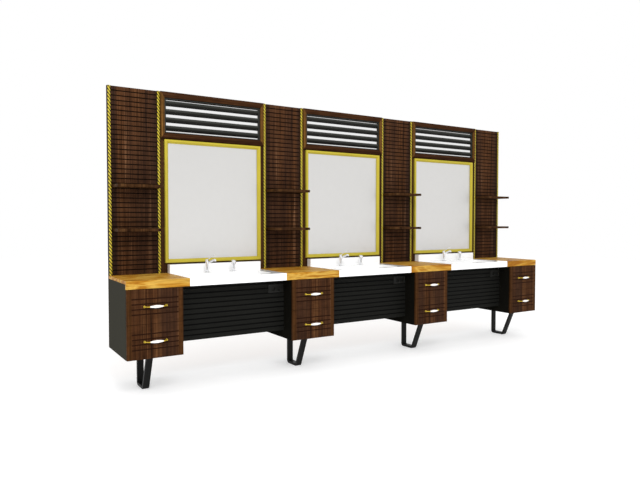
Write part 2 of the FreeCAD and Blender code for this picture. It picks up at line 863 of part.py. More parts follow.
def drawer_front(index, step):
    """Grooved front: the grooves stop at a plain stile on each side."""
    name = f"drawer_{2 * index + step + 1}_front"
    count = "Dims.front_groove_count"
    pitch = "Dims.front_groove_pitch"
    wide = "(Dims.column_width - 2 * Dims.front_side)"
    groove = {
        "left": "Dims.front_stile",
        "length": f"({wide} - 2 * Dims.front_stile)",
        "wide": "Dims.groove_wide",
        "deep": "Dims.groove_deep",
        "first": f"({FRONT_TALL} / 2 + {pitch} * ({count} - 1) / 2)",
        "pitch": pitch,
        "count": count,
    }
    return grooved_board(name, f"{column_left(index)} + Dims.front_side", FRONT, front_low(step),
                         wide, FRONT_TALL, "Dims.front_thick", groove)


DRAWER_WIDE = f"({INNER_WIDE} - 2 * Dims.runner_gap)"
RUNNER_BAR = "(Dims.runner_tall - 2 * Dims.runner_wall - 2 * Dims.runner_clear)"


def runner_level(step):
    return f"({front_low(step)} + Dims.drawer_lift + Dims.drawer_tall / 2)"


def drawer_box(index, step):
    """Four walls and a base, with the sliding member of a runner on each side."""
    name = f"drawer_{2 * index + step + 1}_box"
    left = f"({column_left(index)} + Dims.carcass_board + Dims.runner_gap)"
    near = f"({FRONT} + Dims.front_thick)"
    low = f"({front_low(step)} + Dims.drawer_lift)"
    board = "Dims.drawer_board"
    tall = "Dims.drawer_tall"
    long = "Dims.drawer_long"
    between = f"({DRAWER_WIDE} - 2 * {board})"
    inner = f"({left} + {board})"
    far = f"({left} + {DRAWER_WIDE} - {board})"
    parts = [
        block(name + "_left", left, near, low, board, long, tall),
        block(name + "_right", far, near, low, board, long, tall),
        block(name + "_near", inner, near, low, between, board, tall),
        block(name + "_far", inner, f"({near} + {long} - {board})", low, between, board, tall),
        block(name + "_base", inner, f"({near} + {board})", low, between,
              f"({long} - 2 * {board})", "Dims.drawer_base"),
    ]
    depth = "(Dims.runner_gap - Dims.runner_wall - Dims.runner_clear)"
    bar_low = f"({runner_level(step)} - {RUNNER_BAR} / 2)"
    for side, x in (("left", f"({left} - {depth})"), ("right", f"({left} + {DRAWER_WIDE})")):
        parts.append(block(f"{name}_member_{side}", x, f"({near} + {board})", bar_low, depth,
                           "Dims.runner_long", RUNNER_BAR))
    return parts


def runners(index, step):
    """Fixed channel of the runner on each side of the cabinet."""
    channels = []
    near = f"({CARCASS_FRONT} + Dims.runner_setback)"
    low = f"({runner_level(step)} - Dims.runner_tall / 2)"
    left = f"({column_left(index)} + Dims.carcass_board)"
    right = f"({left} + {INNER_WIDE} - Dims.runner_deep)"
    hollow_tall = "(Dims.runner_tall - 2 * Dims.runner_wall)"
    for side, x, inset in (("left", left, "Dims.runner_wall"), ("right", right, "-1")):
        name = f"runner_{2 * index + step + 1}_{side}"
        solid = block(name + "_solid", x, near, low, "Dims.runner_deep", "Dims.runner_long",
                      "Dims.runner_tall")
        hollow = block(name + "_hollow", f"({x} + {inset})", f"({near} - Dims.overcut)",
                       f"({low} + Dims.runner_wall)",
                       "Dims.runner_deep - Dims.runner_wall + Dims.overcut",
                       "Dims.runner_long + 2 * Dims.overcut", hollow_tall)
        channels.append(cut(name, solid, [hollow]))
    return channels


def drawer_handle(index, step):
    """Spindle grip held off the front by two arms, each from an elbow back to a round knob."""
    name = f"drawer_{2 * index + step + 1}_handle"
    middle = column_centre(index)
    level = f"({front_low(step)} + {FRONT_TALL} / 2)"
    line = f"({FRONT} - Dims.handle_standoff)"
    half = "(Dims.grip_long / 2)"
    share = "(Dims.grip_end / Dims.grip_radius)"
    spindle = doc.addObject("Part::Ellipsoid", name + "_spindle")
    bind(spindle, "Radius1", f"{half} / sqrt(1 - {share} * {share})")
    bind(spindle, "Radius2", "Dims.grip_radius")
    bind(spindle, "Radius3", "Dims.grip_radius")
    put(turn(spindle, *ALONG_X), middle, line, level)
    trim = rod(name + "_trim", f"({middle} - {half})", line, level, "2 * Dims.grip_radius",
               "Dims.grip_long", ALONG_X)
    parts = [common(name + "_grip", [spindle, trim])]
    elbow_at = f"({half} + Dims.elbow_out)"
    arm_aside = f"(Dims.handle_centres / 2 - {elbow_at})"
    arm_back = "(Dims.handle_standoff - Dims.knob_lift)"
    arm_long = f"sqrt({arm_aside} * {arm_aside} + {arm_back} * {arm_back})"
    for side, sign in SIDES.items():
        elbow = f"({middle} + {sign} * {elbow_at})"
        knob = f"({middle} + {sign} * Dims.handle_centres / 2)"
        neck_left = elbow if sign < 0 else f"({middle} + {half})"
        lean = FreeCAD.Vector(-evaluate(arm_back), sign * evaluate(arm_aside), 0)
        parts.append(fuse(f"{name}_{side}", [
            rod(f"{name}_{side}_neck", neck_left, line, level, "Dims.neck_radius",
                "Dims.elbow_out", ALONG_X),
            ball(f"{name}_{side}_elbow", elbow, line, level, "Dims.elbow_radius"),
            rod(f"{name}_{side}_arm", elbow, line, level, "Dims.arm_radius", arm_long, (lean, 90)),
            ball(f"{name}_{side}_knob", knob, f"({FRONT} - Dims.knob_lift)", level,
                 "Dims.knob_radius"),
            rod(f"{name}_{side}_rose", knob, f"({FRONT} - Dims.rose_thick)", level,
                "Dims.rose_radius", "Dims.rose_thick", ALONG_Y),
        ]))
    return parts


# ---------------------------------------------------------------- knee panels and sockets

KNEE_TALL = f"({WORKTOP_BASE} - Dims.knee_base)"


def socket_left(index):
    return f"({bay_left(index)} + {BAY_WIDTH} - Dims.socket_edge - Dims.socket_wide)"


SOCKET_LOW = f"({WORKTOP_BASE} - Dims.socket_below - Dims.socket_tall)"
SOCKET_MIDDLE = f"({SOCKET_LOW} + Dims.socket_tall / 2)"


def knee_panel(index):
    name = f"knee_panel_{index + 1}"
    groove = {
        "left": "0",
        "length": BAY_WIDTH,
        "wide": "Dims.knee_groove_wide",
        "deep": "Dims.knee_groove_deep",
        "first": f"({KNEE_TALL} - Dims.knee_groove_first)",
        "pitch": "Dims.knee_groove_pitch",
        "count": "Dims.knee_groove_count",
    }
    board = grooved_board(name + "_board", bay_left(index), KNEE_FRONT, "Dims.knee_base",
                          BAY_WIDTH, KNEE_TALL, "Dims.knee_thick", groove)
    middle = f"({socket_left(index)} + Dims.socket_wide / 2)"
    gap = "Dims.socket_clear"
    window = block(name + "_window", f"({middle} - Dims.socket_box_wide / 2 - {gap})",
                   f"({KNEE_FRONT} - Dims.overcut)",
                   f"({SOCKET_MIDDLE} - Dims.socket_box_tall / 2 - {gap})",
                   f"(Dims.socket_box_wide + 2 * {gap})", "Dims.knee_thick + 2 * Dims.overcut",
                   f"(Dims.socket_box_tall + 2 * {gap})")
    return cut(name, board, [window])


def socket_outlet(index):
    """Double outlet: a cover plate, a box through the panel and two round wells."""
    name = f"socket_{index + 1}"
    left = socket_left(index)
    middle = f"({left} + Dims.socket_wide / 2)"
    near = f"({KNEE_FRONT} - Dims.socket_plate)"
    plate = block(name + "_plate", left, near, SOCKET_LOW, "Dims.socket_wide",
                  "Dims.socket_plate", "Dims.socket_tall")
    box = block(name + "_box", f"({middle} - Dims.socket_box_wide / 2)", KNEE_FRONT,
                f"({SOCKET_MIDDLE} - Dims.socket_box_tall / 2)", "Dims.socket_box_wide",
                "Dims.socket_box_deep", "Dims.socket_box_tall")
    wells = [rod(f"{name}_well_{side}", f"({middle} + {sign} * Dims.socket_well_spread / 2)",
                 f"({near} - Dims.overcut)", SOCKET_MIDDLE, "Dims.socket_well",
                 "Dims.socket_well_deep + Dims.overcut", ALONG_Y) for side, sign in SIDES.items()]
    return cut(name, fuse(name + "_body", [plate, box]), wells)


TRAY_BASE = "(Dims.worktop_level - Dims.tray_sink - Dims.basin_wall)"


def basin_bearers(index):
    """Battens under a basin: one on the wall board, one on the knee panel."""
    left = f"({bay_left(index)} + Dims.worktop_overhang + Dims.bearer_inset)"
    wide = f"({BASIN_WIDTH} - 2 * Dims.bearer_inset)"
    low = f"({WORKTOP_BASE} - Dims.bearer_lap)"
    rear = block(f"bearer_{index + 1}_rear", left, f"({WALL} - Dims.bearer_deep)", low, wide,
                 "Dims.bearer_deep", f"({DECK_BASE} - {low})")
    tray_left = f"({bay_left(index)} + Dims.worktop_overhang + Dims.tray_side)"
    tray_wide = f"({BASIN_WIDTH} - 2 * Dims.tray_side)"
    near = block(f"bearer_{index + 1}_near", tray_left, KNEE_FRONT, WORKTOP_BASE, tray_wide,
                 "Dims.knee_thick", f"({TRAY_BASE} - {WORKTOP_BASE})")
    return [rear, near]


# ---------------------------------------------------------------- basins and fittings

def rounded_oblong(sketch, left, low, wide, tall, radius):
    """A closed outline of four lines and four corner arcs, all bound to expressions."""
    x0 = evaluate(left)
    y0 = evaluate(low)
    x1 = x0 + evaluate(wide)
    y1 = y0 + evaluate(tall)
    r = evaluate(radius)
    quarter = math.pi / 2
    lines = [((x0 + r, y0), (x1 - r, y0)), ((x1, y0 + r), (x1, y1 - r)),
             ((x1 - r, y1), (x0 + r, y1)), ((x0, y1 - r), (x0, y0 + r))]
    centres = [(x1 - r, y0 + r), (x1 - r, y1 - r), (x0 + r, y1 - r), (x0 + r, y0 + r)]
    first = sketch.GeometryCount
    for start, stop in lines:
        segment = Part.LineSegment(FreeCAD.Vector(*start, 0), FreeCAD.Vector(*stop, 0))
        sketch.addGeometry(segment, False)
    up = FreeCAD.Vector(0, 0, 1)
    for number, centre in enumerate(centres):
        circle = Part.Circle(FreeCAD.Vector(*centre, 0), up, r)
        start = (number - 1) * quarter
        sketch.addGeometry(Part.ArcOfCircle(circle, start, start + quarter), False)
    corners = len(lines)
    for number in range(corners):
        arc = first + corners + number
        following = first + (number + 1) % corners
        sketch.addConstraint(Sketcher.Constraint("Tangent", first + number, 2, arc, 1))
        sketch.addConstraint(Sketcher.Constraint("Tangent", arc, 2, following, 1))
    for number, kind in enumerate(("Horizontal", "Vertical", "Horizontal", "Vertical")):
        sketch.addConstraint(Sketcher.Constraint(kind, first + number))
    for number in range(1, corners):
        sketch.addConstraint(Sketcher.Constraint("Equal", first + corners,
                                                 first + corners + number))
    row = sketch.addConstraint(Sketcher.Constraint("Radius", first + corners, r))
    sketch.setExpression(f"Constraints[{row}]", str(radius))
    ties = (("DistanceY", 0, low), ("DistanceX", 1, f"({left} + {wide})"),
            ("DistanceY", 2, f"({low} + {tall})"), ("DistanceX", 3, left))
    for kind, line, expression in ties:
        tie = Sketcher.Constraint(kind, -1, 1, first + line, 1, evaluate(expression))
        row = sketch.addConstraint(tie)
        sketch.setExpression(f"Constraints[{row}]", str(expression))
    return sketch


TRAY_LONG = "(Dims.cabinet_depth - Dims.tray_front - Dims.ledge_deep - Dims.tap_deck)"
TRAY_WIDE = f"({BASIN_WIDTH} - 2 * Dims.tray_side)"
WELL_NEAR = "(Dims.knee_setback + Dims.knee_thick + Dims.well_clear + Dims.basin_wall)"
WELL_FAR = "(Dims.cabinet_depth - Dims.ledge_deep - Dims.tap_deck - Dims.well_rear)"
WELL_WIDE = f"({TRAY_WIDE} - 2 * Dims.well_side)"
WELL_MIDDLE = f"(({WELL_NEAR} + {WELL_FAR}) / 2)"
TAP_DEPTH = "(Dims.cabinet_depth - Dims.tap_back)"
WELL_LONG = f"({WELL_FAR} - {WELL_NEAR})"
TRAY_CORNER = f"min(Dims.tray_corner; Dims.corner_share * {TRAY_LONG})"
WELL_CORNER = f"min(Dims.well_corner; Dims.corner_share * {WELL_LONG})"


def basin(index):
    """Moulded basin: flat deck with a front apron, a shallow tray, a deep well and a ledge."""
    name = f"basin_{index + 1}"
    wall = "Dims.basin_wall"
    body = new_body(name + "_shell", f"{bay_left(index)} + Dims.worktop_overhang", FRONT,
                    WORKTOP_BASE)
    deck = new_sketch(body, name + "_deck", "XY_Plane")
    slab = pad(body, oblong(deck, "0", "0", BASIN_WIDTH, "Dims.cabinet_depth"),
               "Dims.worktop_thick")
    under = new_sketch(body, name + "_under", "XY_Plane")
    oblong(under, wall, wall, f"({BASIN_WIDTH} - 2 * {wall})", f"Dims.cabinet_depth - {wall}")
    pocket(body, under, f"Dims.worktop_thick - {wall}", reverse=True)
    ledge = new_sketch(body, name + "_ledge", "XY_Plane", "Dims.worktop_thick")
    oblong(ledge, "0", "Dims.cabinet_depth - Dims.ledge_deep", BASIN_WIDTH, "Dims.ledge_deep")
    pad(body, ledge, "Dims.ledge_tall")
    ledge_hollow = new_sketch(body, name + "_ledge_hollow", "XY_Plane",
                              f"Dims.worktop_thick - {wall}")
    oblong(ledge_hollow, wall, f"Dims.cabinet_depth - Dims.ledge_deep + {wall}",
           f"{BASIN_WIDTH} - 2 * {wall}", f"Dims.ledge_deep - {wall}")
    pocket(body, ledge_hollow, "Dims.ledge_tall", reverse=True)
    tray_out = new_sketch(body, name + "_tray_out", "XY_Plane", "Dims.worktop_thick")
    rounded_oblong(tray_out, f"Dims.tray_side - {wall}", f"Dims.tray_front - {wall}",
                   f"{TRAY_WIDE} + 2 * {wall}", f"{TRAY_LONG} + 2 * {wall}",
                   f"{TRAY_CORNER} + {wall}")
    pad(body, tray_out, f"Dims.tray_sink + {wall}", reverse=True)
    well_left = "(Dims.tray_side + Dims.well_side)"
    well_out = new_sketch(body, name + "_well_out", "XY_Plane", "Dims.worktop_thick")
    rounded_oblong(well_out, f"{well_left} - {wall}", f"{WELL_NEAR} - {wall}",
                   f"{WELL_WIDE} + 2 * {wall}", f"{WELL_LONG} + 2 * {wall}",
                   f"{WELL_CORNER} + {wall}")
    pad(body, well_out, f"Dims.well_sink + {wall}", reverse=True)
    tray = new_sketch(body, name + "_tray", "XY_Plane", "Dims.worktop_thick")
    rounded_oblong(tray, "Dims.tray_side", "Dims.tray_front", TRAY_WIDE, TRAY_LONG,
                   TRAY_CORNER)
    pocket(body, tray, "Dims.tray_sink")
    well = new_sketch(body, name + "_well", "XY_Plane", "Dims.worktop_thick")
    rounded_oblong(well, well_left, WELL_NEAR, WELL_WIDE, WELL_LONG, WELL_CORNER)
    sunk = pocket(body, well, "Dims.well_sink")
    doc.recompute()
    thick = size("worktop_thick")
    floor_level = thick - size("tray_sink")
    bottom = thick - size("well_sink")

    def on_level(shape, level, inside):
        names = []
        for number, edge in enumerate(shape.Edges, start=1):
            box = edge.BoundBox
            flat = abs(box.ZMin - level) < 1e-3 and abs(box.ZMax - level) < 1e-3
            if flat and inside(edge.CenterOfMass):
                names.append(f"Edge{number}")
        return names

    half = evaluate(BASIN_WIDTH) / 2
    reach = evaluate(WELL_WIDE) / 2 + PICK

    def near_well(middle):
        low = evaluate(WELL_NEAR) - PICK < middle.y < evaluate(WELL_FAR) + PICK
        return abs(middle.x - half) < reach and low

    soft = round_edges(body, sunk, on_level(sunk.Shape, bottom, near_well), "Dims.well_round")
    doc.recompute()
    lip = round_edges(body, soft, on_level(soft.Shape, floor_level, near_well), "Dims.rim_round")
    doc.recompute()

    def on_tray(middle):
        side = size("tray_side") - PICK
        deck_line = size("tray_front") + evaluate(TRAY_LONG) + PICK
        inside = side < middle.x < 2 * half - side
        return inside and size("tray_front") - PICK < middle.y < deck_line

    round_edges(body, lip, on_level(lip.Shape, thick, on_tray), "Dims.rim_round")
    deck_x = bay_centre(index)
    tap_y = f"({FRONT} + {TAP_DEPTH})"
    low = f"({DECK_BASE} - Dims.overcut)"
    through = f"({wall} + 2 * Dims.overcut)"
    holes = [
        rod(name + "_tap_hole", f"({deck_x} - Dims.tap_offset)", tap_y, low, "Dims.tap_hole",
            through),
        rod(name + "_spray_hole", f"({deck_x} + Dims.spray_offset)", tap_y, low,
            "Dims.holder_hole", through),
        rod(name + "_waste_hole", deck_x, f"({FRONT} + {WELL_MIDDLE})",
            f"(Dims.worktop_level - Dims.well_sink - {wall} - Dims.overcut)", "Dims.waste_hole",
            through),
    ]
    return cut(name, body, holes)


def basin_waste(index):
    """Flanged strainer through the floor of the well, with its nut and tail below."""
    name = f"waste_{index + 1}"
    x = bay_centre(index)
    y = f"({FRONT} + {WELL_MIDDLE})"
    floor_top = "(Dims.worktop_level - Dims.well_sink)"
    floor_low = f"({floor_top} - Dims.basin_wall)"
    nut_low = f"({floor_low} - Dims.waste_nut_tall)"
    tail_low = f"({nut_low} - Dims.waste_tail_long)"
    whole = fuse(name + "_whole", [
        rod(name + "_flange", x, y, floor_top, "Dims.waste_flange", "Dims.waste_flange_tall"),
        rod(name + "_neck", x, y, nut_low, "Dims.waste_radius",
            f"({floor_top} - {nut_low})"),
        rod(name + "_nut", x, y, nut_low, "Dims.waste_nut", "Dims.waste_nut_tall"),
        rod(name + "_tail", x, y, tail_low, "Dims.waste_tail", "Dims.waste_tail_long"),
    ])
    bore_low = f"({tail_low} - Dims.overcut)"
    roof_low = f"({floor_top} - Dims.waste_roof)"
    bore = rod(name + "_bore", x, y, bore_low, "Dims.waste_bore", f"({roof_low} - {bore_low})")
    count = int(size("waste_slots"))
    drains = []
    for number in range(count):
        shift = f"({number - (count - 1) / 2} * Dims.waste_slot_pitch + {x})"
        drains.append(rod(f"{name}_drain_{number + 1}", shift, y, f"({roof_low} - Dims.overcut)",
                          "Dims.waste_slot / 2",
                          "Dims.waste_roof + Dims.waste_flange_tall + 2 * Dims.overcut"))
    return cut(name, whole, [bore] + drains)


def tap_place(index):
    return f"({bay_centre(index)} - Dims.tap_offset)", f"({FRONT} + {TAP_DEPTH})"


def aim(thing, x, y):
    """Turns a finished piece of a tap about its column, so that it points over the well."""
    column = FreeCAD.Vector(evaluate(x), evaluate(y), 0)
    rotation = FreeCAD.Rotation(FreeCAD.Vector(0, 0, 1), size("tap_aim"))
    thing.Placement = FreeCAD.Placement(column - rotation.multVec(column), rotation)
    return thing


def tap_body(index):
    """Mixer body with a rising spout, and its shank and nut under the deck."""
    name = f"tap_{index + 1}_body"
    x, y = tap_place(index)
    deck = "Dims.worktop_level"
    spout_level = f"({deck} + Dims.spout_level)"
    spout = cone(name + "_spout", x, y, spout_level, "Dims.spout_root", "Dims.spout_tip",
                 "Dims.spout_reach / cos(Dims.spout_rise)",
                 (FreeCAD.Vector(1, 0, 0), 90 - size("spout_rise")))
    tip_y = f"({y} - Dims.spout_reach)"
    tip_z = f"({spout_level} + Dims.spout_reach * tan(Dims.spout_rise))"
    body = fuse(name, [
        rod(name + "_flange", x, y, deck, "Dims.tap_flange", "Dims.tap_flange_tall"),
        cone(name + "_column", x, y, deck, "Dims.tap_foot", "Dims.tap_radius", "Dims.tap_tall"),
        spout,
        ball(name + "_tip", x, tip_y, tip_z, "Dims.spout_tip"),
        rod(name + "_aerator", x, tip_y, f"({tip_z} - Dims.aerator_long)",
            "Dims.aerator_radius", "Dims.aerator_long"),
        rod(name + "_shank", x, y, f"({deck} - Dims.tap_shank_long)", "Dims.tap_shank",
            "Dims.tap_shank_long"),
        rod(name + "_nut", x, y, f"({DECK_BASE} - Dims.tap_nut_tall)", "Dims.tap_nut",
            "Dims.tap_nut_tall"),
    ])
    return aim(body, x, y)


CAP_LOW = "(Dims.worktop_level + Dims.tap_tall + Dims.cap_gap)"
PIVOT_LEVEL = f"({CAP_LOW} + Dims.cap_pivot)"


def tap_cap(index):
    """Turning cap, slotted towards the front for the lever and crossed by its pin."""
    name = f"tap_{index + 1}_cap"
    x, y = tap_place(index)
    drum = rod(name + "_drum", x, y, CAP_LOW, "Dims.tap_radius", "Dims.cap_tall")
    half = "(Dims.lever_wide / 2 + Dims.lever_clear)"
    back = "(Dims.knuckle_radius + Dims.knuckle_clear)"
    slot = block(name + "_slot", f"({x} - {half})", f"({y} - 2 * Dims.tap_radius)",
                 f"({PIVOT_LEVEL} - {back})", f"(2 * {half})",
                 f"(2 * Dims.tap_radius + {back})", "Dims.cap_tall")
    slotted = cut(name + "_slotted", drum, [slot])
    pin_half = "(Dims.tap_radius - Dims.cap_cheek)"
    pin = rod(name + "_pin", f"({x} - {pin_half})", y, PIVOT_LEVEL, "Dims.pivot_radius",
              f"(2 * {pin_half})", ALONG_X)
    return aim(fuse(name, [slotted, pin]), x, y)


def tap_lever(index):
    """Flat lever on a bored knuckle, leaning up over the spout."""
    name = f"tap_{index + 1}_lever"
    x, y = tap_place(index)
    left = f"({x} - Dims.lever_wide / 2)"
    knuckle = rod(name + "_knuckle", left, y, PIVOT_LEVEL, "Dims.knuckle_radius",
                  "Dims.lever_wide", ALONG_X)
    blade = doc.addObject("Part::Box", name + "_blade")
    bind(blade, "Length", "Dims.lever_wide")
    bind(blade, "Width", "Dims.lever_long")
    bind(blade, "Height", "Dims.lever_thick")
    rise = size("lever_rise")
    turn(blade, FreeCAD.Vector(1, 0, 0), -rise)
    along = "Dims.lever_long * cos(Dims.lever_rise)"
    drop = "Dims.lever_thick / 2 * sin(Dims.lever_rise)"
    lift = "Dims.lever_long * sin(Dims.lever_rise)"
    put(blade, left, f"({y} - {along} - {drop})",
        f"({PIVOT_LEVEL} + {lift} - Dims.lever_thick / 2 * cos(Dims.lever_rise))")
    bore = rod(name + "_bore", f"({left} - Dims.overcut)", y, PIVOT_LEVEL,
               "Dims.pivot_radius + Dims.pivot_clear", "Dims.lever_wide + 2 * Dims.overcut", ALONG_X)
    return aim(cut(name, fuse(name + "_whole", [knuckle, blade]), [bore]), x, y)


def spray_place(index):
    return f"({bay_centre(index)} + Dims.spray_offset)", f"({FRONT} + {TAP_DEPTH})"


def spray_holder(index):
    name = f"spray_holder_{index + 1}"
    x, y = spray_place(index)
    deck = "Dims.worktop_level"
    shank_low = f"({deck} - Dims.holder_shank_long)"
    whole = fuse(name + "_whole", [
        rod(name + "_flange", x, y, deck, "Dims.holder_radius", "Dims.holder_tall"),
        rod(name + "_shank", x, y, shank_low, "Dims.holder_shank", "Dims.holder_shank_long"),
    ])
    bore = rod(name + "_bore", x, y, f"({shank_low} - Dims.overcut)", "Dims.holder_bore",
               "Dims.holder_shank_long + Dims.holder_tall + 2 * Dims.overcut")
    return cut(name, whole, [bore])


def spray(index):
    """Pull-out hand spray: its stem drops in the holder and its shoulder rests on the rim."""
    name = f"spray_{index + 1}"
    x, y = spray_place(index)
    seat = "(Dims.worktop_level + Dims.holder_tall + Dims.cap_gap)"
    stem_low = f"({seat} - Dims.spray_stem_long)"
    taper_low = f"({seat} + Dims.spray_neck_tall)"
    head_low = f"({taper_low} + Dims.spray_taper_tall)"
    dome_level = f"({seat} + Dims.spray_tall - Dims.spray_radius)"
    return fuse(name, [
        rod(name + "_neck", x, y, seat, "Dims.spray_neck", "Dims.spray_neck_tall"),
        cone(name + "_taper", x, y, taper_low, "Dims.spray_neck", "Dims.spray_radius",
             "Dims.spray_taper_tall"),
        rod(name + "_head", x, y, head_low, "Dims.spray_radius", f"({dome_level} - {head_low})"),
        ball(name + "_dome", x, y, dome_level, "Dims.spray_radius"),
        rod(name + "_stem", x, y, stem_low, "Dims.spray_stem", "Dims.spray_stem_long"),
        rod(name + "_nipple", x, y, f"({stem_low} - Dims.spray_tail_long)", "Dims.spray_tail",
            "Dims.spray_tail_long"),
    ])


# ---------------------------------------------------------------- the assembly

bays = range(BAYS)
columns = range(COLUMNS)
steps = range(len(SHELF_TOPS))

node("column_panels", [column_panel(c) for c in columns])
node("bay_panels", [bay_panel(b) for b in bays])
node("rope_mouldings", [rope_moulding(c, side) for c in columns for side in SIDES])
node("shelves", [shelf(c, s, SHELF_TOPS[s]) for c in columns for s in steps])
node("shelf_pins", [pin for c in columns for s in steps for pin in shelf_pins(c, s, SHELF_TOPS[s])])
node("mirror_frames", [bar for b in bays for bar in mirror_frame(b)])
node("mirror_glasses", [mirror_glass(b) for b in bays])
node("louvre_surrounds", [bar for b in bays for bar in louvre_surround(b)])
node("louvre_frames", [louvre_frame(b) for b in bays])
node("louvre_slats", [louvre_slat(b, s) for b in bays for s in range(int(size("slat_count")))])
node("light_diffusers", [diffuser(b) for b in bays])
node("led_strips", [strip for b in bays for strip in led_strips(b)])
for c in columns:
    node(f"carcass_{c + 1}", carcass(c))
node("worktops", [worktop(c) for c in columns])
node("basins", [basin(b) for b in bays])
node("basin_bearers", [batten for b in bays for batten in basin_bearers(b)])
node("basin_wastes", [basin_waste(b) for b in bays])
node("knee_panels", [knee_panel(b) for b in bays])
node("socket_outlets", [socket_outlet(b) for b in bays])
node("legs", [leg(c) for c in columns])
node("leg_screws", [screw for c in columns for screw in leg_screws(c)])
node("tap_bodies", [tap_body(b) for b in bays])
node("spray_holders", [spray_holder(b) for b in bays])
node("drawer_runners", [rail for c in columns for s in range(2) for rail in runners(c, s)])
for c in columns:
    for s in range(2):
        number = 2 * c + s + 1
        node(f"drawer_{number}_front", [drawer_front(c, s)])
        node(f"drawer_{number}_box", drawer_box(c, s))
        node(f"drawer_{number}_handle", drawer_handle(c, s))
for b in bays:
    node(f"tap_{b + 1}_cap", [tap_cap(b)])
    node(f"tap_{b + 1}_lever", [tap_lever(b)])
    node(f"spray_{b + 1}", [spray(b)])

doc.recompute()

faults = []
for thing in doc.Objects:
    if "Invalid" in thing.State or "Error" in thing.State:
        faults.append(f"{thing.Name}: {thing.State}")
for thing in NODES:
    if thing.Shape.isNull() or not thing.Shape.isValid() or not thing.Shape.Solids:
        faults.append(f"{thing.Label}: no valid solid")
if faults:
    raise RuntimeError("; ".join(faults))

os.makedirs("parts", exist_ok=True)
for thing in NODES:
    thing.Shape.exportStep(f"parts/{thing.Label}.step")
print(len(NODES), "nodes written")
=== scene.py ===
import math

import bmesh
import bpy
import numpy as np
from mathutils import Matrix, Vector


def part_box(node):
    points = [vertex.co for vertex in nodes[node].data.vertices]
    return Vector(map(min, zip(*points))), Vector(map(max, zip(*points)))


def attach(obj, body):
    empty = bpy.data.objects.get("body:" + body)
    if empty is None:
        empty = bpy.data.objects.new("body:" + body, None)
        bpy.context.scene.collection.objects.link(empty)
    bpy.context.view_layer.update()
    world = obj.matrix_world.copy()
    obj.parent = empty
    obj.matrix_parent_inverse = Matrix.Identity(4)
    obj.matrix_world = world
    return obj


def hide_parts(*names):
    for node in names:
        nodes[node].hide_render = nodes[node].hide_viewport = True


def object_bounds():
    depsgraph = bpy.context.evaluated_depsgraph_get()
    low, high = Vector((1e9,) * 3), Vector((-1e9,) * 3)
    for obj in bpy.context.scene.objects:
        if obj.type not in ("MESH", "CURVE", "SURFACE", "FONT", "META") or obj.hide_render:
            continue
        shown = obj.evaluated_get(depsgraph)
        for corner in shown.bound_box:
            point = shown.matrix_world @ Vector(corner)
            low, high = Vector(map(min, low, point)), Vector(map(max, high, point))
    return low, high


# A three-place salon wall station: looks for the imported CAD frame.
# Metres; +X along the wall, +Y towards the room wall, +Z up, floor at Z = 0.

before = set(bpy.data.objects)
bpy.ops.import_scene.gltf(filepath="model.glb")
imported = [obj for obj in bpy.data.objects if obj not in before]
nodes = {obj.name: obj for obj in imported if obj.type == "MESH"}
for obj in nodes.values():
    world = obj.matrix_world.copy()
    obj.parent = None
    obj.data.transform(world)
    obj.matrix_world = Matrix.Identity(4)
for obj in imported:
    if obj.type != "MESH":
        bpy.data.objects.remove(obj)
cad_low, cad_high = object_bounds()

BAYS = 3
COLUMNS = BAYS + 1
DRAWERS = 2 * COLUMNS


# ---------------------------------------------------------------- places read from the frame

def solid_boxes(node):
    """Lowest and highest corner of every separate solid of a CAD node, ordered along X, then Z."""
    mesh = nodes[node].data
    points = np.array([v.co for v in mesh.vertices]).reshape(-1, 3)
    keys, merged = np.unique(np.round(points, 5), axis=0, return_inverse=True)
    merged = merged.reshape(-1)
    group = list(range(len(keys)))

    def root(item):
        while group[item] != item:
            group[item] = group[group[item]]
            item = group[item]
        return item

    for face in mesh.polygons:
        corners = [int(merged[v]) for v in face.vertices]
        for corner in corners[1:]:
            group[root(corner)] = root(corners[0])
    owners = np.array([root(item) for item in range(len(keys))])
    boxes = []
    for owner in np.unique(owners):
        own = keys[owners == owner]
        boxes.append((Vector(own.min(0)), Vector(own.max(0))))
    return sorted(boxes, key=lambda box: (round(box[0].x, 3), round(box[0].z, 3)))


columns = solid_boxes("column_panels")
surround_low, surround_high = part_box("louvre_surrounds")

# Faces and edges of the whole unit
HALF = cad_high.x
WALL = columns[0][0].y
FRONT = solid_boxes("basins")[0][0].y
DECK = solid_boxes("worktops")[0][1].z
KNEE = solid_boxes("knee_panels")[0][0].y

# The row of columns
LEFT = columns[0][0].x
COLUMN = columns[0][1].x - LEFT
PITCH = columns[1][0].x - LEFT

# The light boxes: the surround's level rails and upright stiles, and the slats inside it
RAIL_MIDDLE = (surround_low.z + surround_high.z) / 2
RAIL_HALF = (surround_high.z - surround_low.z) / 2
RAIL_TALL = 0.042
STILE_WIDE = 0.028
SLATS = solid_boxes("louvre_slats")
SLAT_PITCH = SLATS[1][0].z - SLATS[0][0].z
LIP_SHADE = 0.0070

# How far from a face something still belongs to it
GROOVE_DEPTH = 0.0012
END_SKIN = 0.003


# ---------------------------------------------------------------- camera, light and white world

PHOTO_WIDTH = 640
PHOTO_FOCAL = 579.4
SENSOR_WIDTH = 36


def place_camera(place, yaw, pitch):
    """Camera at place, yaw in degrees from +Y towards +X and pitch in degrees below level."""
    camera = bpy.data.objects.new("camera", bpy.data.cameras.new("camera"))
    camera.data.sensor_width = SENSOR_WIDTH
    camera.data.sensor_fit = "HORIZONTAL"
    camera.data.lens = PHOTO_FOCAL * SENSOR_WIDTH / PHOTO_WIDTH
    camera.data.clip_end = 200
    camera.location = place
    camera.rotation_euler = (math.radians(90 - pitch), 0, math.radians(-yaw))
    bpy.context.scene.collection.objects.link(camera)
    bpy.context.scene.camera = camera


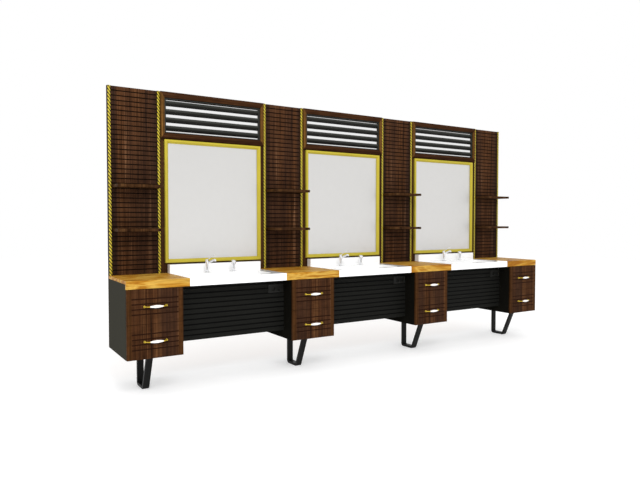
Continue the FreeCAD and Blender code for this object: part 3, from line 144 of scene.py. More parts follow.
def area_light(name, place, target, width, power):
    """A square white light at place, turned to face target and left out of reflections."""
    light = bpy.data.lights.new(name, "AREA")
    light.size = width
    light.energy = power
    lamp = bpy.data.objects.new(name, light)
    lamp.location = place
    lamp.rotation_euler = (Vector(target) - Vector(place)).to_track_quat("-Z", "Y").to_euler()
    lamp.visible_glossy = False
    bpy.context.scene.collection.objects.link(lamp)


place_camera((-2.8846, -3.95475, 1.1398), yaw=32.15, pitch=1.82)
area_light("key", (-2.0, -5.0, 4.6), (0.1, 0, 1.1), width=2.6, power=170)
area_light("fill", (-4.6, -3.2, 2.6), (-0.4, 0, 1.2), width=3.0, power=22)

scene = bpy.context.scene
scene.view_settings.view_transform = "Standard"
scene.view_settings.look = "None"
world = bpy.data.worlds.new("studio")
scene.world = world
world.use_nodes = True
background = world.node_tree.nodes["Background"]
background.inputs["Color"].default_value = (1, 1, 1, 1)
background.inputs["Strength"].default_value = 1.0


# ---------------------------------------------------------------- material helpers

class Shader:
    """A material with a Principled BSDF, and short calls for the nodes that feed it."""

    def __init__(self, name, **settings):
        self.material = bpy.data.materials.new("look_" + name)
        self.material.use_nodes = True
        self.tree = self.material.node_tree
        self.bsdf = self.tree.nodes["Principled BSDF"]
        for socket, number in settings.items():
            self.bsdf.inputs[socket.replace("_", " ")].default_value = number
        coordinates = self.tree.nodes.new("ShaderNodeTexCoord")
        self.place = coordinates.outputs["Object"]
        self.normal = coordinates.outputs["Normal"]

    def link(self, source, target):
        """Links an output to a socket, or sets the socket to a plain value."""
        if isinstance(source, bpy.types.NodeSocket):
            self.tree.links.new(source, target)
        else:
            target.default_value = source

    def scaled(self, scale, shift=(0, 0, 0), source=None):
        """The object coordinates times a scale on each axis, then shifted."""
        node = self.tree.nodes.new("ShaderNodeMapping")
        node.inputs["Scale"].default_value = scale
        node.inputs["Location"].default_value = shift
        self.tree.links.new(source or self.place, node.inputs["Vector"])
        return node.outputs["Vector"]

    def noise(self, vector, detail=2.0, rough=0.5, distortion=0.0):
        """Noise from 0 to 1 over coordinates that are already scaled."""
        node = self.tree.nodes.new("ShaderNodeTexNoise")
        node.inputs["Scale"].default_value = 1.0
        node.inputs["Detail"].default_value = detail
        node.inputs["Roughness"].default_value = rough
        node.inputs["Distortion"].default_value = distortion
        self.tree.links.new(vector, node.inputs["Vector"])
        return node.outputs["Fac"]

    def attribute(self, name):
        node = self.tree.nodes.new("ShaderNodeAttribute")
        node.attribute_name = name
        return node.outputs["Fac"]

    def axis(self, vector, name):
        """One part of a vector, named X, Y or Z."""
        node = self.tree.nodes.new("ShaderNodeSeparateXYZ")
        self.tree.links.new(vector, node.inputs[0])
        return node.outputs[name]

    def calc(self, operation, first, second=0.0):
        """A named operation of Blender's Math node on one or two numbers."""
        node = self.tree.nodes.new("ShaderNodeMath")
        node.operation = operation
        self.link(first, node.inputs[0])
        self.link(second, node.inputs[1])
        return node.outputs[0]

    def ramp(self, factor, stops):
        """Colour ramp; stops are (place, colour) with colour as a grey or as red, green, blue."""
        node = self.tree.nodes.new("ShaderNodeValToRGB")
        elements = node.color_ramp.elements
        while len(elements) < len(stops):
            elements.new(0.5)
        for element, (place, colour) in zip(elements, stops):
            element.position = place
            rgb = (colour,) * 3 if isinstance(colour, (int, float)) else colour
            element.color = (*rgb, 1)
        self.tree.links.new(factor, node.inputs["Fac"])
        return node.outputs["Color"]

    def grey(self, factor, stops):
        """A ramp of greys as a plain number."""
        return self.axis(self.ramp(factor, stops), "X")

    def mix(self, factor, first, second, blend="MIX"):
        """Two colours, each a socket or red, green and blue, mixed by factor."""
        node = self.tree.nodes.new("ShaderNodeMix")
        node.data_type = "RGBA"
        node.blend_type = blend
        self.link(factor, node.inputs[0])
        for source, socket in ((first, node.inputs[6]), (second, node.inputs[7])):
            self.link(source if not isinstance(source, tuple) else (*source, 1), socket)
        return node.outputs[2]

    def bump(self, height, strength, distance):
        node = self.tree.nodes.new("ShaderNodeBump")
        node.inputs["Strength"].default_value = strength
        node.inputs["Distance"].default_value = distance
        self.tree.links.new(height, node.inputs["Height"])
        return node.outputs["Normal"]

    def feed(self, **sources):
        """Feeds the shader's sockets and gives the finished material."""
        for socket, source in sources.items():
            self.link(source, self.bsdf.inputs[socket.replace("_", " ")])
        return self.material


def srgb(red, green, blue):
    """A display colour of 0 to 255 as linear light."""
    def linear(value):
        share = value / 255
        return share / 12.92 if share <= 0.04045 else ((share + 0.055) / 1.055) ** 2.4
    return (linear(red), linear(green), linear(blue))


# ---------------------------------------------------------------- materials

FRONT_STILE = 0.032
PLAIN_BOARD = srgb(140, 108, 80)


def walnut(name, base, dark, light, purple, groove, bands=False, stiles=None, face=None,
           rails=None):
    """Walnut veneer with its grain along Z: broad streaks, thin light lines and fine pores.

    bands darkens the veneer towards both edges of each column and paints a little shade towards
    its foot.
    stiles gives each column's two edges a colour of their own. face is the depth of the front
    surface: what lies behind it and faces the front is the floor of a groove, which is painted
    dark as shade. rails is a tint for the two level pieces of a mitred surround, whose grain lies
    along X. A back face is plain board.
    """
    s = Shader(name, Specular_IOR_Level=0.02)
    start = LEFT - 20 * PITCH
    steps = s.calc("DIVIDE", s.calc("SUBTRACT", s.axis(s.place, "X"), start), PITCH)
    across = s.calc("MULTIPLY", s.calc("FRACT", steps), PITCH)
    height = s.axis(s.place, "Z")
    lie, rise = across, height
    if rails:
        out = s.calc("ABSOLUTE", s.calc("SUBTRACT", height, RAIL_MIDDLE))
        side = s.calc("ABSOLUTE", s.calc("SUBTRACT", across, (PITCH + COLUMN) / 2))
        depth = s.calc("DIVIDE", s.calc("SUBTRACT", RAIL_HALF, out), RAIL_TALL)
        inset = s.calc("DIVIDE", s.calc("SUBTRACT", (PITCH - COLUMN) / 2, side), STILE_WIDE)
        level = s.calc("LESS_THAN", depth, inset)
        lie = s.calc("ADD", across, s.calc("MULTIPLY", level, s.calc("SUBTRACT", height, across)))
        rise = s.calc("SUBTRACT", s.calc("ADD", across, height), lie)
    node = s.tree.nodes.new("ShaderNodeCombineXYZ")
    s.link(lie, node.inputs["X"])
    s.link(s.axis(s.place, "Y"), node.inputs["Y"])
    s.link(rise, node.inputs["Z"])
    veneer = node.outputs[0]
    broad = s.noise(s.scaled((30, 6, 0.8), (3.1, 0, 0.4), veneer), detail=3, rough=0.55,
                    distortion=0.25)
    fine = s.noise(s.scaled((130, 40, 2.0), source=veneer), detail=4, rough=0.6, distortion=0.2)
    pores = s.noise(s.scaled((900, 400, 14)), detail=2, rough=0.6)
    lines = s.noise(s.scaled((85, 20, 0.9), (11, 0, 3), veneer), detail=1, rough=0.4)
    cross = s.noise(s.scaled((14, 14, 55)), detail=2, rough=0.5)
    colour = s.ramp(broad, [(0.32, dark), (0.45, base), (0.57, base), (0.70, light)])
    streak = s.ramp(fine, [(0.34, 0.36), (0.50, 0.90), (0.62, 1.12), (0.74, 1.9)])
    colour = s.mix(0.95, colour, streak, "MULTIPLY")
    colour = s.mix(s.grey(lines, [(0.58, 0.0), (0.70, 0.45)]), colour, light)
    tint = s.noise(s.scaled((8, 4, 0.5), (0, 0, 7)), detail=1)
    colour = s.mix(s.grey(tint, [(0.45, 0.0), (0.62, 0.5)]), colour, purple)
    off = s.calc("ABSOLUTE", s.calc("SUBTRACT", across, COLUMN / 2))
    if bands:
        edge = s.grey(s.calc("DIVIDE", off, COLUMN / 2), [(0.60, 0.0), (0.78, 0.75)])
        colour = s.mix(edge, colour, purple)
    if stiles:
        stile = s.mix(0.9, stiles, streak, "MULTIPLY")
        inside = s.calc("GREATER_THAN", off, COLUMN / 2 - FRONT_STILE)
        colour = s.mix(inside, colour, stile)
    colour = s.mix(0.35, colour, s.ramp(cross, [(0.38, 0.55), (0.6, 1.15)]), "MULTIPLY")
    colour = s.mix(s.grey(pores, [(0.40, 0.35), (0.56, 0.0)]), colour, dark)
    if rails:
        colour = s.mix(level, colour, s.mix(1.0, colour, rails, "MULTIPLY"))
    if bands:
        # Painted shade: the veneer darkens towards each column's foot, as under a light from
        # above.
        foot = s.ramp(s.calc("DIVIDE", height, 2.0), [(0.40, 0.80), (0.86, 1.04)])
        colour = s.mix(1.0, colour, foot, "MULTIPLY")
    # Painted shade: the floor of each groove behind the front face takes the dark groove tone, as
    # shade in the recess.
    if face is not None:
        behind = s.calc("GREATER_THAN", s.axis(s.place, "Y"), face + GROOVE_DEPTH)
        ahead = s.calc("LESS_THAN", s.axis(s.normal, "Y"), -0.6)
        colour = s.mix(s.calc("MULTIPLY", behind, ahead), colour, groove)
    back = s.calc("GREATER_THAN", s.axis(s.normal, "Y"), 0.7)
    plain = s.mix(0.5, PLAIN_BOARD, s.ramp(broad, [(0.35, 0.66), (0.62, 1.12)]), "MULTIPLY")
    plain = s.mix(0.6, plain, s.ramp(fine, [(0.36, 0.72), (0.6, 1.08)]), "MULTIPLY")
    colour = s.mix(back, colour, plain)
    relief = s.calc("ADD", s.calc("MULTIPLY", fine, 0.5), pores)
    rough = s.grey(fine, [(0.3, 0.62), (0.7, 0.44)])
    return s.feed(Base_Color=colour, Normal=s.bump(relief, 0.2, 0.0005), Roughness=rough)


def oak():
    """Oiled orange oak with its grain along X and soft flame figure."""
    s = Shader("oak", Specular_IOR_Level=0.06)
    flame = s.noise(s.scaled((3.2, 12, 17), (5.2, 0.3, 0)), detail=3, rough=0.55, distortion=0.9)
    fine = s.noise(s.scaled((7, 150, 150)), detail=4, rough=0.6, distortion=0.15)
    pores = s.noise(s.scaled((40, 900, 900)), detail=2, rough=0.6)
    colour = s.ramp(flame, [(0.36, srgb(148, 94, 23)), (0.46, srgb(174, 122, 36)),
                            (0.55, srgb(200, 160, 72)), (0.66, srgb(158, 106, 28))])
    colour = s.mix(0.7, colour, s.ramp(fine, [(0.34, 0.74), (0.5, 1.0), (0.7, 1.12)]), "MULTIPLY")
    colour = s.mix(s.grey(pores, [(0.38, 0.25), (0.5, 0.0)]), colour, srgb(140, 86, 28))
    rough = s.grey(fine, [(0.3, 0.52), (0.7, 0.38)])
    return s.feed(Base_Color=colour, Normal=s.bump(fine, 0.15, 0.0004), Roughness=rough)


def board(name, tone, fleck):
    """A plain light timber or board with long soft streaks along Y."""
    s = Shader(name, Specular_IOR_Level=0.3)
    streak = s.noise(s.scaled((90, 4, 90)), detail=3, rough=0.6)
    colour = s.ramp(streak, [(0.35, fleck), (0.55, tone), (0.7, tuple(v * 1.1 for v in tone))])
    rough = s.grey(streak, [(0.3, 0.65), (0.7, 0.50)])
    return s.feed(Base_Color=colour, Normal=s.bump(streak, 0.15, 0.0004), Roughness=rough)


def speckled(name, tone, spread, scale, roughness, bump, ends=None, groove=None, **settings):
    """An even finish with a faint cloud in its tone and a fine grain in its surface.

    ends is painted light: a lighter tone on the unit's two end faces, as on lit faces of the same
    board. groove is painted shade: the tone of a knee panel's groove floors.
    """
    s = Shader(name, **settings)
    cloud = s.noise(s.scaled((6, 6, 6)), detail=3)
    grain = s.noise(s.scaled((scale,) * 3), detail=2)
    low = tuple(v * (1 - spread) for v in tone)
    high = tuple(v * (1 + spread) for v in tone)
    colour = s.ramp(cloud, [(0.35, low), (0.65, high)])
    # Painted light: the unit's two end faces are painted lighter, as lit faces.
    if ends:
        away = s.calc("ABSOLUTE", s.axis(s.place, "X"))
        colour = s.mix(s.calc("GREATER_THAN", away, HALF - END_SKIN), colour, ends)
    # Painted shade: the floors of the knee panel's grooves are painted dark.
    if groove:
        behind = s.calc("GREATER_THAN", s.axis(s.place, "Y"), KNEE + GROOVE_DEPTH)
        colour = s.mix(behind, colour, groove)
    rough = s.grey(grain, [(0.3, roughness - 0.04), (0.7, roughness + 0.04)])
    return s.feed(Base_Color=colour, Roughness=rough, Normal=s.bump(grain, bump, 0.0003))


def slat_black():
    """Black slats with thin streaks along X: painted light on each upper face, painted shade on
    each lower slope.
    """
    s = Shader("slat_black", Roughness=0.5, Specular_IOR_Level=0.1)
    height = s.calc("SUBTRACT", s.axis(s.place, "Z"), SLATS[0][0].z - SLAT_PITCH)
    share = s.calc("FRACT", s.calc("DIVIDE", height, SLAT_PITCH))
    streak = s.noise(s.scaled((2.5, 60, 260)), detail=3, rough=0.6)
    # Painted light and shade: each slat is painted lighter towards its top, as lit from above, and
    # darker towards its foot.
    colour = s.ramp(share, [(0.0, srgb(16, 16, 14)), (0.30, srgb(30, 30, 27)),
                            (0.62, srgb(60, 62, 58))])
    colour = s.mix(0.8, colour, s.ramp(streak, [(0.36, 0.45), (0.62, 1.25)]), "MULTIPLY")
    return s.feed(Base_Color=colour, Normal=s.bump(streak, 0.1, 0.0003))


def diffuser_sheet():
    """Lit opal sheet, dark along its upper edge where the box's lip shades it."""
    s = Shader("diffuser", Roughness=0.6, Specular_IOR_Level=0.2, Emission_Strength=3.2)
    cloud = s.noise(s.scaled((18, 18, 18)), detail=2)
    colour = s.ramp(cloud, [(0.3, 0.192), (0.7, 0.2)])
    shaded = s.calc("GREATER_THAN", s.axis(s.place, "Z"), SLATS[-1][1].z + LIP_SHADE)
    colour = s.mix(shaded, colour, srgb(30, 31, 29))
    return s.feed(Base_Color=colour, Emission_Color=s.mix(shaded, colour, (0.0, 0.0, 0.0)))


def rope_gold():
    """Gilded rope: bright crests, and painted brown shade where the mesh's own valley layer is
    high.
    """
    s = Shader("gold_rope", Metallic=0.25, Specular_IOR_Level=0.35)
    rope_shade = s.attribute("rope_shade")
    wear = s.noise(s.scaled((60, 60, 60)), detail=3)
    crest = s.ramp(wear, [(0.35, srgb(196, 174, 42)), (0.65, srgb(212, 194, 62))])
    # Painted shade: dark brown between the strands and on the flanks towards the wall.
    colour = s.mix(s.grey(rope_shade, [(0.12, 0.0), (0.48, 1.0)]), crest, srgb(40, 28, 5))
    return s.feed(Base_Color=colour, Roughness=s.grey(wear, [(0.3, 0.44), (0.7, 0.32)]))


def glow(name, tone, strength):
    """A lit surface with a faint cloud in its tone."""
    s = Shader(name, Roughness=0.6, Specular_IOR_Level=0.2, Emission_Strength=strength)
    cloud = s.noise(s.scaled((18, 18, 18)), detail=2)
    colour = s.ramp(cloud, [(0.3, tuple(v * 0.96 for v in tone)), (0.7, tone)])
    return s.feed(Base_Color=colour, Emission_Color=colour)


DARK = srgb(34, 20, 11)
PURPLE = srgb(46, 32, 26)
GROOVE_SHADE = srgb(17, 9, 5)
looks = {
    "walnut_cladding": walnut("walnut_cladding", srgb(82, 52, 31), DARK, srgb(126, 88, 60),
                              PURPLE, GROOVE_SHADE, bands=True, face=WALL),
    "walnut_panel": walnut("walnut_panel", srgb(68, 44, 24), srgb(40, 23, 11),
                           srgb(96, 66, 38), srgb(52, 34, 22), GROOVE_SHADE),
    "walnut_frame": walnut("walnut_frame", srgb(98, 67, 31), srgb(66, 40, 16),
                           srgb(130, 92, 44), srgb(80, 52, 24), GROOVE_SHADE,
                           rails=(0.40, 0.35, 0.55)),
    # The drawer fronts' groove tone srgb(38, 20, 11) is painted shade on the floors of their
    # grooves.
    "walnut_front": walnut("walnut_front", srgb(67, 40, 22), DARK, srgb(100, 66, 40), PURPLE,
                           srgb(38, 20, 11), stiles=srgb(70, 43, 21), face=FRONT),
    "oak": oak(),
    "pine": board("pine", srgb(214, 176, 122), srgb(186, 142, 88)),
    # The carcass board's ends tone is painted light on the unit's two end faces.
    "carcass_board": speckled("carcass_board", srgb(18, 17, 14), 0.06, 900, 0.55, 0.12,
                              ends=srgb(58, 57, 51), Specular_IOR_Level=0.0),
    "drawer_board": board("drawer_board", srgb(205, 198, 184), srgb(186, 178, 162)),
    # The knee panel's groove tone is painted shade on the floors of its grooves.
    "black_ribbed": speckled("black_ribbed", srgb(24, 24, 22), 0.06, 900, 0.5, 0.12,
                             groove=srgb(8, 8, 8), Specular_IOR_Level=0.03),
    "black_metal": speckled("black_metal", srgb(37, 38, 35), 0.05, 1100, 0.42, 0.1,
                            Specular_IOR_Level=0.12),
    "black_steel": speckled("black_steel", srgb(18, 18, 17), 0.08, 1100, 0.45, 0.15,
                            Specular_IOR_Level=0.1),
    "gold_rope": rope_gold(),
    "gold_frame": speckled("gold_frame", srgb(176, 160, 52), 0.04, 500, 0.45, 0.05,
                           Specular_IOR_Level=0.15),
    "mirror": speckled("mirror", srgb(217, 216, 214), 0.004, 20, 0.42, 0.0, Metallic=1.0),
    "slat_black": slat_black(),
    "diffuser": diffuser_sheet(),
    "led": glow("led", (0.3, 0.29, 0.26), 2.0),
    "ceramic": speckled("ceramic", srgb(246, 246, 246), 0.01, 240, 0.16, 0.02,
                        Coat_Weight=0.5, Coat_Roughness=0.05),
    "chrome": speckled("chrome", srgb(238, 239, 241), 0.02, 700, 0.1, 0.02, Metallic=1.0),
    "steel": speckled("steel", srgb(172, 174, 178), 0.05, 900, 0.34, 0.1, Metallic=1.0),
    "socket_plastic": speckled("socket_plastic", srgb(31, 31, 29), 0.05, 900, 0.4, 0.08,
                               Specular_IOR_Level=0.12),
    "handle_brass": speckled("handle_brass", srgb(206, 176, 58), 0.06, 400, 0.28, 0.05,
                             Metallic=0.7),
    "porcelain": speckled("porcelain", srgb(244, 240, 236), 0.02, 200, 0.14, 0.02,
                          Coat_Weight=0.6, Coat_Roughness=0.04),
}
for name, thing in nodes.items():
    for place, material in enumerate(thing.data.materials):
        thing.data.materials[place] = looks[material.name.split(".")[0]]
nodes["louvre_slats"].data.materials[0] = looks["slat_black"]


# ---------------------------------------------------------------- mesh helpers

def shade_smooth_group():
    """A modifier's node group that shades every face smooth and leaves the mesh as it is."""
    group = bpy.data.node_groups.new("shade_smooth", "GeometryNodeTree")
    for way in ("INPUT", "OUTPUT"):
        group.interface.new_socket("Geometry", in_out=way, socket_type="NodeSocketGeometry")
    source = group.nodes.new("NodeGroupInput")
    smooth = group.nodes.new("GeometryNodeSetShadeSmooth")
    target = group.nodes.new("NodeGroupOutput")
    group.links.new(source.outputs[0], smooth.inputs["Geometry"])
    group.links.new(smooth.outputs[0], target.inputs[0])
    return group


SHADE_SMOOTH = shade_smooth_group()


def soften(node, width, smooth=False):
    """Joins the triangulated faces of a CAD node and rounds its sharp edges a little."""
    thing = nodes[node]
    if smooth:
        thing.modifiers.new("smooth", "NODES").node_group = SHADE_SMOOTH
    weld = thing.modifiers.new("weld", "WELD")
    weld.merge_threshold = 1e-5
    bevel = thing.modifiers.new("soft_edges", "BEVEL")
    bevel.width = width
    bevel.segments = 2
    bevel.limit_method = "ANGLE"
    bevel.angle_limit = math.radians(35)
    bevel.harden_normals = False
    if smooth:
        thing.modifiers.new("normals", "WEIGHTED_NORMAL").keep_sharp = True


class Builder:
    """Collects closed shapes in one mesh and makes a named piece of them."""

    def __init__(self):
        self.bm = bmesh.new()

    def loft(self, rings):
        """Faces between successive closed rings of equally many points, closed at both ends."""
        made = [[self.bm.verts.new(point) for point in ring] for ring in rings]
        count = len(made[0])
        for lower, upper in zip(made, made[1:]):
            for step in range(count):
                after = (step + 1) % count
                self.bm.faces.new((lower[step], lower[after], upper[after], upper[step]))
        self.bm.faces.new(list(reversed(made[0])))
        self.bm.faces.new(made[-1])

    def lathe(self, profile, centre, axis="Z", segments=48):
        """Turns (radius, height) pairs about an axis through centre."""
        rings = []
        for radius, height in profile:
            ring = []
            for step in range(segments):
                turn = 2 * math.pi * step / segments
                a, b = max(radius, 1e-6) * math.cos(turn), max(radius, 1e-6) * math.sin(turn)
                local = {"Z": (a, b, height), "X": (height, a, b), "Y": (b, height, a)}[axis]
                ring.append(Vector(centre) + Vector(local))
            rings.append(ring)
        self.loft(rings)

    def tube(self, path, radii, segments=32, side=(1, 0, 0)):
        """A round tube along a path in a plane square to side."""
        rings = []
        points = [Vector(point) for point in path]
        side = Vector(side)
        for number, point in enumerate(points):
            radius = float(radii[number])
            before = points[max(number - 1, 0)]
            after = points[min(number + 1, len(points) - 1)]
            ahead = (after - before).normalized()
            up = side.cross(ahead)
            ring = []
            for step in range(segments):
                turn = 2 * math.pi * step / segments
                ring.append(point + radius * (math.cos(turn) * side + math.sin(turn) * up))
            rings.append(ring)
        self.loft(rings)

    def aim(self, centre, degrees):
        """Turns everything so far about the upright line through centre."""
        turn = Matrix.Rotation(math.radians(degrees), 3, "Z")
        bmesh.ops.rotate(self.bm, cent=centre, matrix=turn, verts=self.bm.verts)

    def plain(self, name):
        """An object of the mesh as it stands, which is for a tool or the floor."""
        bmesh.ops.recalc_face_normals(self.bm, faces=self.bm.faces)
        mesh = bpy.data.meshes.new(name)
        self.bm.to_mesh(mesh)
        self.bm.free()
        thing = bpy.data.objects.new(name, mesh)
        bpy.context.scene.collection.objects.link(thing)
        return thing

    def piece(self, name, body, look, replaced, sharp):
        """A named piece that rides on a body and stands for one CAD node.

        Edges that turn by more than sharp degrees stay sharp.
        """
        bmesh.ops.remove_doubles(self.bm, verts=self.bm.verts, dist=2e-6)
        bmesh.ops.dissolve_degenerate(self.bm, edges=self.bm.edges, dist=1e-7)
        for face in self.bm.faces:
            face.smooth = True
        thing = self.plain(name)
        thing.data.set_sharp_from_angle(angle=math.radians(sharp))
        thing.data.materials.append(looks[look])
        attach(thing, body)
        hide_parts(replaced)
        return thing


def smooth_line(points, steps):
    """Points along a Catmull-Rom line through the given points."""
    line = []
    padded = [2 * np.array(points[0]) - np.array(points[1])]
    padded += [np.array(point) for point in points]
    padded += [2 * np.array(points[-1]) - np.array(points[-2])]
    for number in range(1, len(padded) - 2):
        p0, p1, p2, p3 = padded[number - 1:number + 3]
        for step in range(steps):
            t = step / steps
            line.append(0.5 * (2 * p1 + (p2 - p0) * t + (2 * p0 - 5 * p1 + 4 * p2 - p3) * t * t
                               + (3 * p1 - p0 - 3 * p2 + p3) * t ** 3))
    line.append(padded[-2])
    return line


# ---------------------------------------------------------------- soft edges on CAD pieces

for node, width in (("column_panels", 0.0006), ("bay_panels", 0.0006), ("shelves", 0.001),
                    ("mirror_frames", 0.001), ("louvre_surrounds", 0.001),
                    ("louvre_frames", 0.0008), ("louvre_slats", 0.0008), ("worktops", 0.002),
                    ("knee_panels", 0.001), ("socket_outlets", 0.001)):
    soften(node, width)
for node, width in (("legs", 0.0008), ("basins", 0.003), ("spray_holders", 0.0008),
                    ("basin_wastes", 0.0006)):
    soften(node, width, smooth=True)
for number in range(1, COLUMNS + 1):
    soften(f"carcass_{number}", 0.0008)
for number in range(1, DRAWERS + 1):
    soften(f"drawer_{number}_front", 0.0008)
    soften(f"drawer_{number}_box", 0.0008)


# ---------------------------------------------------------------- rope mouldings

def rope(name, box):
    """Half-round moulding carved as a rope of four strands, flat on the wall board."""
    strands, lead, levels_each = 4, 0.104, 10
    radius = (box[1].x - box[0].x) / 2
    across = (box[0].x + box[1].x) / 2
    low, high = box[0].z, box[1].z
    count = int(round((high - low) / lead * strands * levels_each))
    theta = np.linspace(math.pi, 2 * math.pi, 23)
    builder = Builder()
    rings = []
    rope_shades = []
    for level in np.linspace(low, high, count + 1):
        phase = strands * theta + 2 * math.pi * strands * (level - low) / lead
        crest = np.abs(np.cos(phase / 2)) ** 0.7
        reach = radius * (0.74 + 0.26 * crest)
        # Painted shade for the rope's material: high between the strands and on the flanks by the
        # wall.
        flank = np.clip((np.abs(np.cos(theta)) - 0.66) / 0.16, 0, 1)
        rings.append([Vector((across + r * math.cos(t), box[1].y + r * math.sin(t), level))
                      for r, t in zip(reach, theta)])
        rope_shades.extend(np.maximum(1 - crest, flank))
    builder.loft(rings)
    layer = builder.bm.verts.layers.float.new("rope_shade")
    for vertex, rope_shade in zip(builder.bm.verts, rope_shades):
        vertex[layer] = float(rope_shade)
    builder.piece(name, "station", "gold_rope", "rope_mouldings", 60)


for number, box in enumerate(solid_boxes("rope_mouldings")):
    rope(f"rope_{number // 2 + 1}_{('left', 'right')[number % 2]}", box)


# ---------------------------------------------------------------- taps and sprays

TAP_AIM = 45
FLANGE_RADIUS = 0.022
CAP_LOW = 0.0843
PIVOT_LEVEL = DECK + 0.0923
SLOT_HALF = 0.0063
LEVER_RISE = math.radians(34)
LEVER_LONG = 0.0880
SPRAY_TALL = 0.080


def hexagon(builder, centre, flats, low, high):
    """A chamfered hexagon nut; flats is half its width across the flats."""
    corner = flats / math.cos(math.pi / 6)
    profile = [(corner * 0.86, low), (corner, low + 0.0012), (corner, high - 0.0012),
               (corner * 0.86, high)]
    builder.lathe(profile, centre, segments=6)


def mixer(number, base):
    """Waisted column with a rising spout, and its threaded shank and nut under the deck."""
    x, y = base.x, base.y
    builder = Builder()
    builder.lathe([(0, 0.0005), (0.0218, 0.0005), (0.0220, 0.0016), (0.0212, 0.0032),
                   (0.0174, 0.0044), (0.0134, 0.0058), (0.0109, 0.0090), (0.0100, 0.0160),
                   (0.0101, 0.0270), (0.0107, 0.0450), (0.0118, 0.0630), (0.0126, 0.0755),
                   (0.0130, 0.0812), (0.0130, 0.0832), (0.0125, 0.0840), (0, 0.0840)], base,
                  segments=64)
    line = smooth_line([(x, y + 0.001, DECK + 0.0662), (x, y - 0.014, DECK + 0.0736),
                        (x, y - 0.034, DECK + 0.0834), (x, y - 0.050, DECK + 0.0911),
                        (x, y - 0.0590, DECK + 0.0943), (x, y - 0.0642, DECK + 0.0932),
                        (x, y - 0.0655, DECK + 0.0880)], 8)
    along = np.linspace(0, 1, len(line))
    radii = 0.0080 + 0.0016 * np.exp(-((along / 0.22) ** 2))
    builder.tube(line, radii, 36)
    tip = Vector((x, y - 0.0655, DECK))
    builder.lathe([(0, 0.0888), (0.0074, 0.0888), (0.0077, 0.0882), (0.0077, 0.0840),
                   (0.0073, 0.0832), (0.0061, 0.0829), (0.0057, 0.0842), (0, 0.0842)], tip,
                  segments=40)
    threads = [(0, -0.0600)]
    for step in range(30):
        threads += [(0.0112, -0.0600 + step * 0.0019), (0.0120, -0.0591 + step * 0.0019)]
    threads += [(0.0120, 0.0), (0, 0.0)]
    builder.lathe(threads, base, segments=32)
    hexagon(builder, base, 0.0170, -0.0200, -0.0125)
    builder.lathe([(0.0125, -0.0125), (0.0196, -0.0125), (0.0196, -0.0120), (0.0125, -0.0120)],
                  base, segments=40)
    builder.aim(base, TAP_AIM)
    builder.piece(f"tap_{number}_mixer", "station", "chrome", "tap_bodies", 50)


def cap(number, base):
    """Turning cap with a round shoulder, slotted towards the spout for its lever."""
    low = CAP_LOW
    builder = Builder()
    builder.lathe([(0, low), (0.0124, low), (0.0130, low + 0.0009), (0.0130, low + 0.0085),
                   (0.0126, low + 0.0106), (0.0115, low + 0.0121), (0.0093, low + 0.0129),
                   (0.0, low + 0.0130)], base, segments=64)
    drum = builder.piece(f"tap_{number}_cap_body", f"tap_{number}_cap", "chrome",
                         f"tap_{number}_cap", 50)
    cutter = Builder()
    left, right = base.x - SLOT_HALF, base.x + SLOT_HALF
    front, back = base.y - 0.04, base.y + 0.0060
    corners = [(left, front), (right, front), (right, back), (left, back)]
    cutter.loft([[Vector((a, b, level)) for a, b in corners]
                 for level in (PIVOT_LEVEL - 0.0060, DECK + 0.16)])
    cutter.aim(base, TAP_AIM)
    tool = cutter.plain("knife")
    cut = drum.modifiers.new("slot", "BOOLEAN")
    cut.operation = "DIFFERENCE"
    cut.solver = "EXACT"
    cut.object = tool
    graph = bpy.context.evaluated_depsgraph_get()
    slotted = bpy.data.meshes.new_from_object(drum.evaluated_get(graph))
    drum.modifiers.clear()
    drum.data = slotted
    slotted.set_sharp_from_angle(angle=math.radians(40))
    bpy.data.objects.remove(tool)


def lever(number, base):
    """Flat lever on a round knuckle, waisted in its middle and thinner towards its tip."""
    builder = Builder()
    knuckle = Vector((base.x, base.y, PIVOT_LEVEL))
    builder.lathe([(0.0, -0.0060), (0.0045, -0.0060), (0.0050, -0.0055), (0.0050, 0.0055),
                   (0.0045, 0.0060), (0, 0.0060)], knuckle, "X", 32)
    ahead = Vector((0, -math.cos(LEVER_RISE), math.sin(LEVER_RISE)))
    normal = Vector((0, math.sin(LEVER_RISE), math.cos(LEVER_RISE)))
    rings = []
    stations = [(0.0, 0.0057, 0.0022), (0.006, 0.0060, 0.0025), (0.018, 0.0058, 0.0025),
                (0.036, 0.0051, 0.0023), (0.055, 0.0051, 0.0021), (0.070, 0.0057, 0.0019),
                (0.079, 0.0060, 0.0018), (0.0845, 0.0052, 0.0015), (0.0872, 0.0034, 0.0011),
                (LEVER_LONG, 0.0010, 0.0004)]
    for reach, wide, thick in stations:
        sag = 0.0006 * math.sin(math.pi * reach / LEVER_LONG)
        centre = knuckle + ahead * reach - normal * sag
        ring = []
        for step in range(24):
            turn = 2 * math.pi * step / 24
            level, up = math.cos(turn), math.sin(turn)
            a = math.copysign(abs(level) ** 0.45, level) * wide
            b = math.copysign(abs(up) ** 0.8, up) * thick
            ring.append(centre + Vector((a, 0, 0)) + normal * b)
        rings.append(ring)
    builder.loft(rings)
    builder.aim(base, TAP_AIM)
    builder.piece(f"tap_{number}_lever_blade", f"tap_{number}_lever", "chrome",
                  f"tap_{number}_lever", 45)


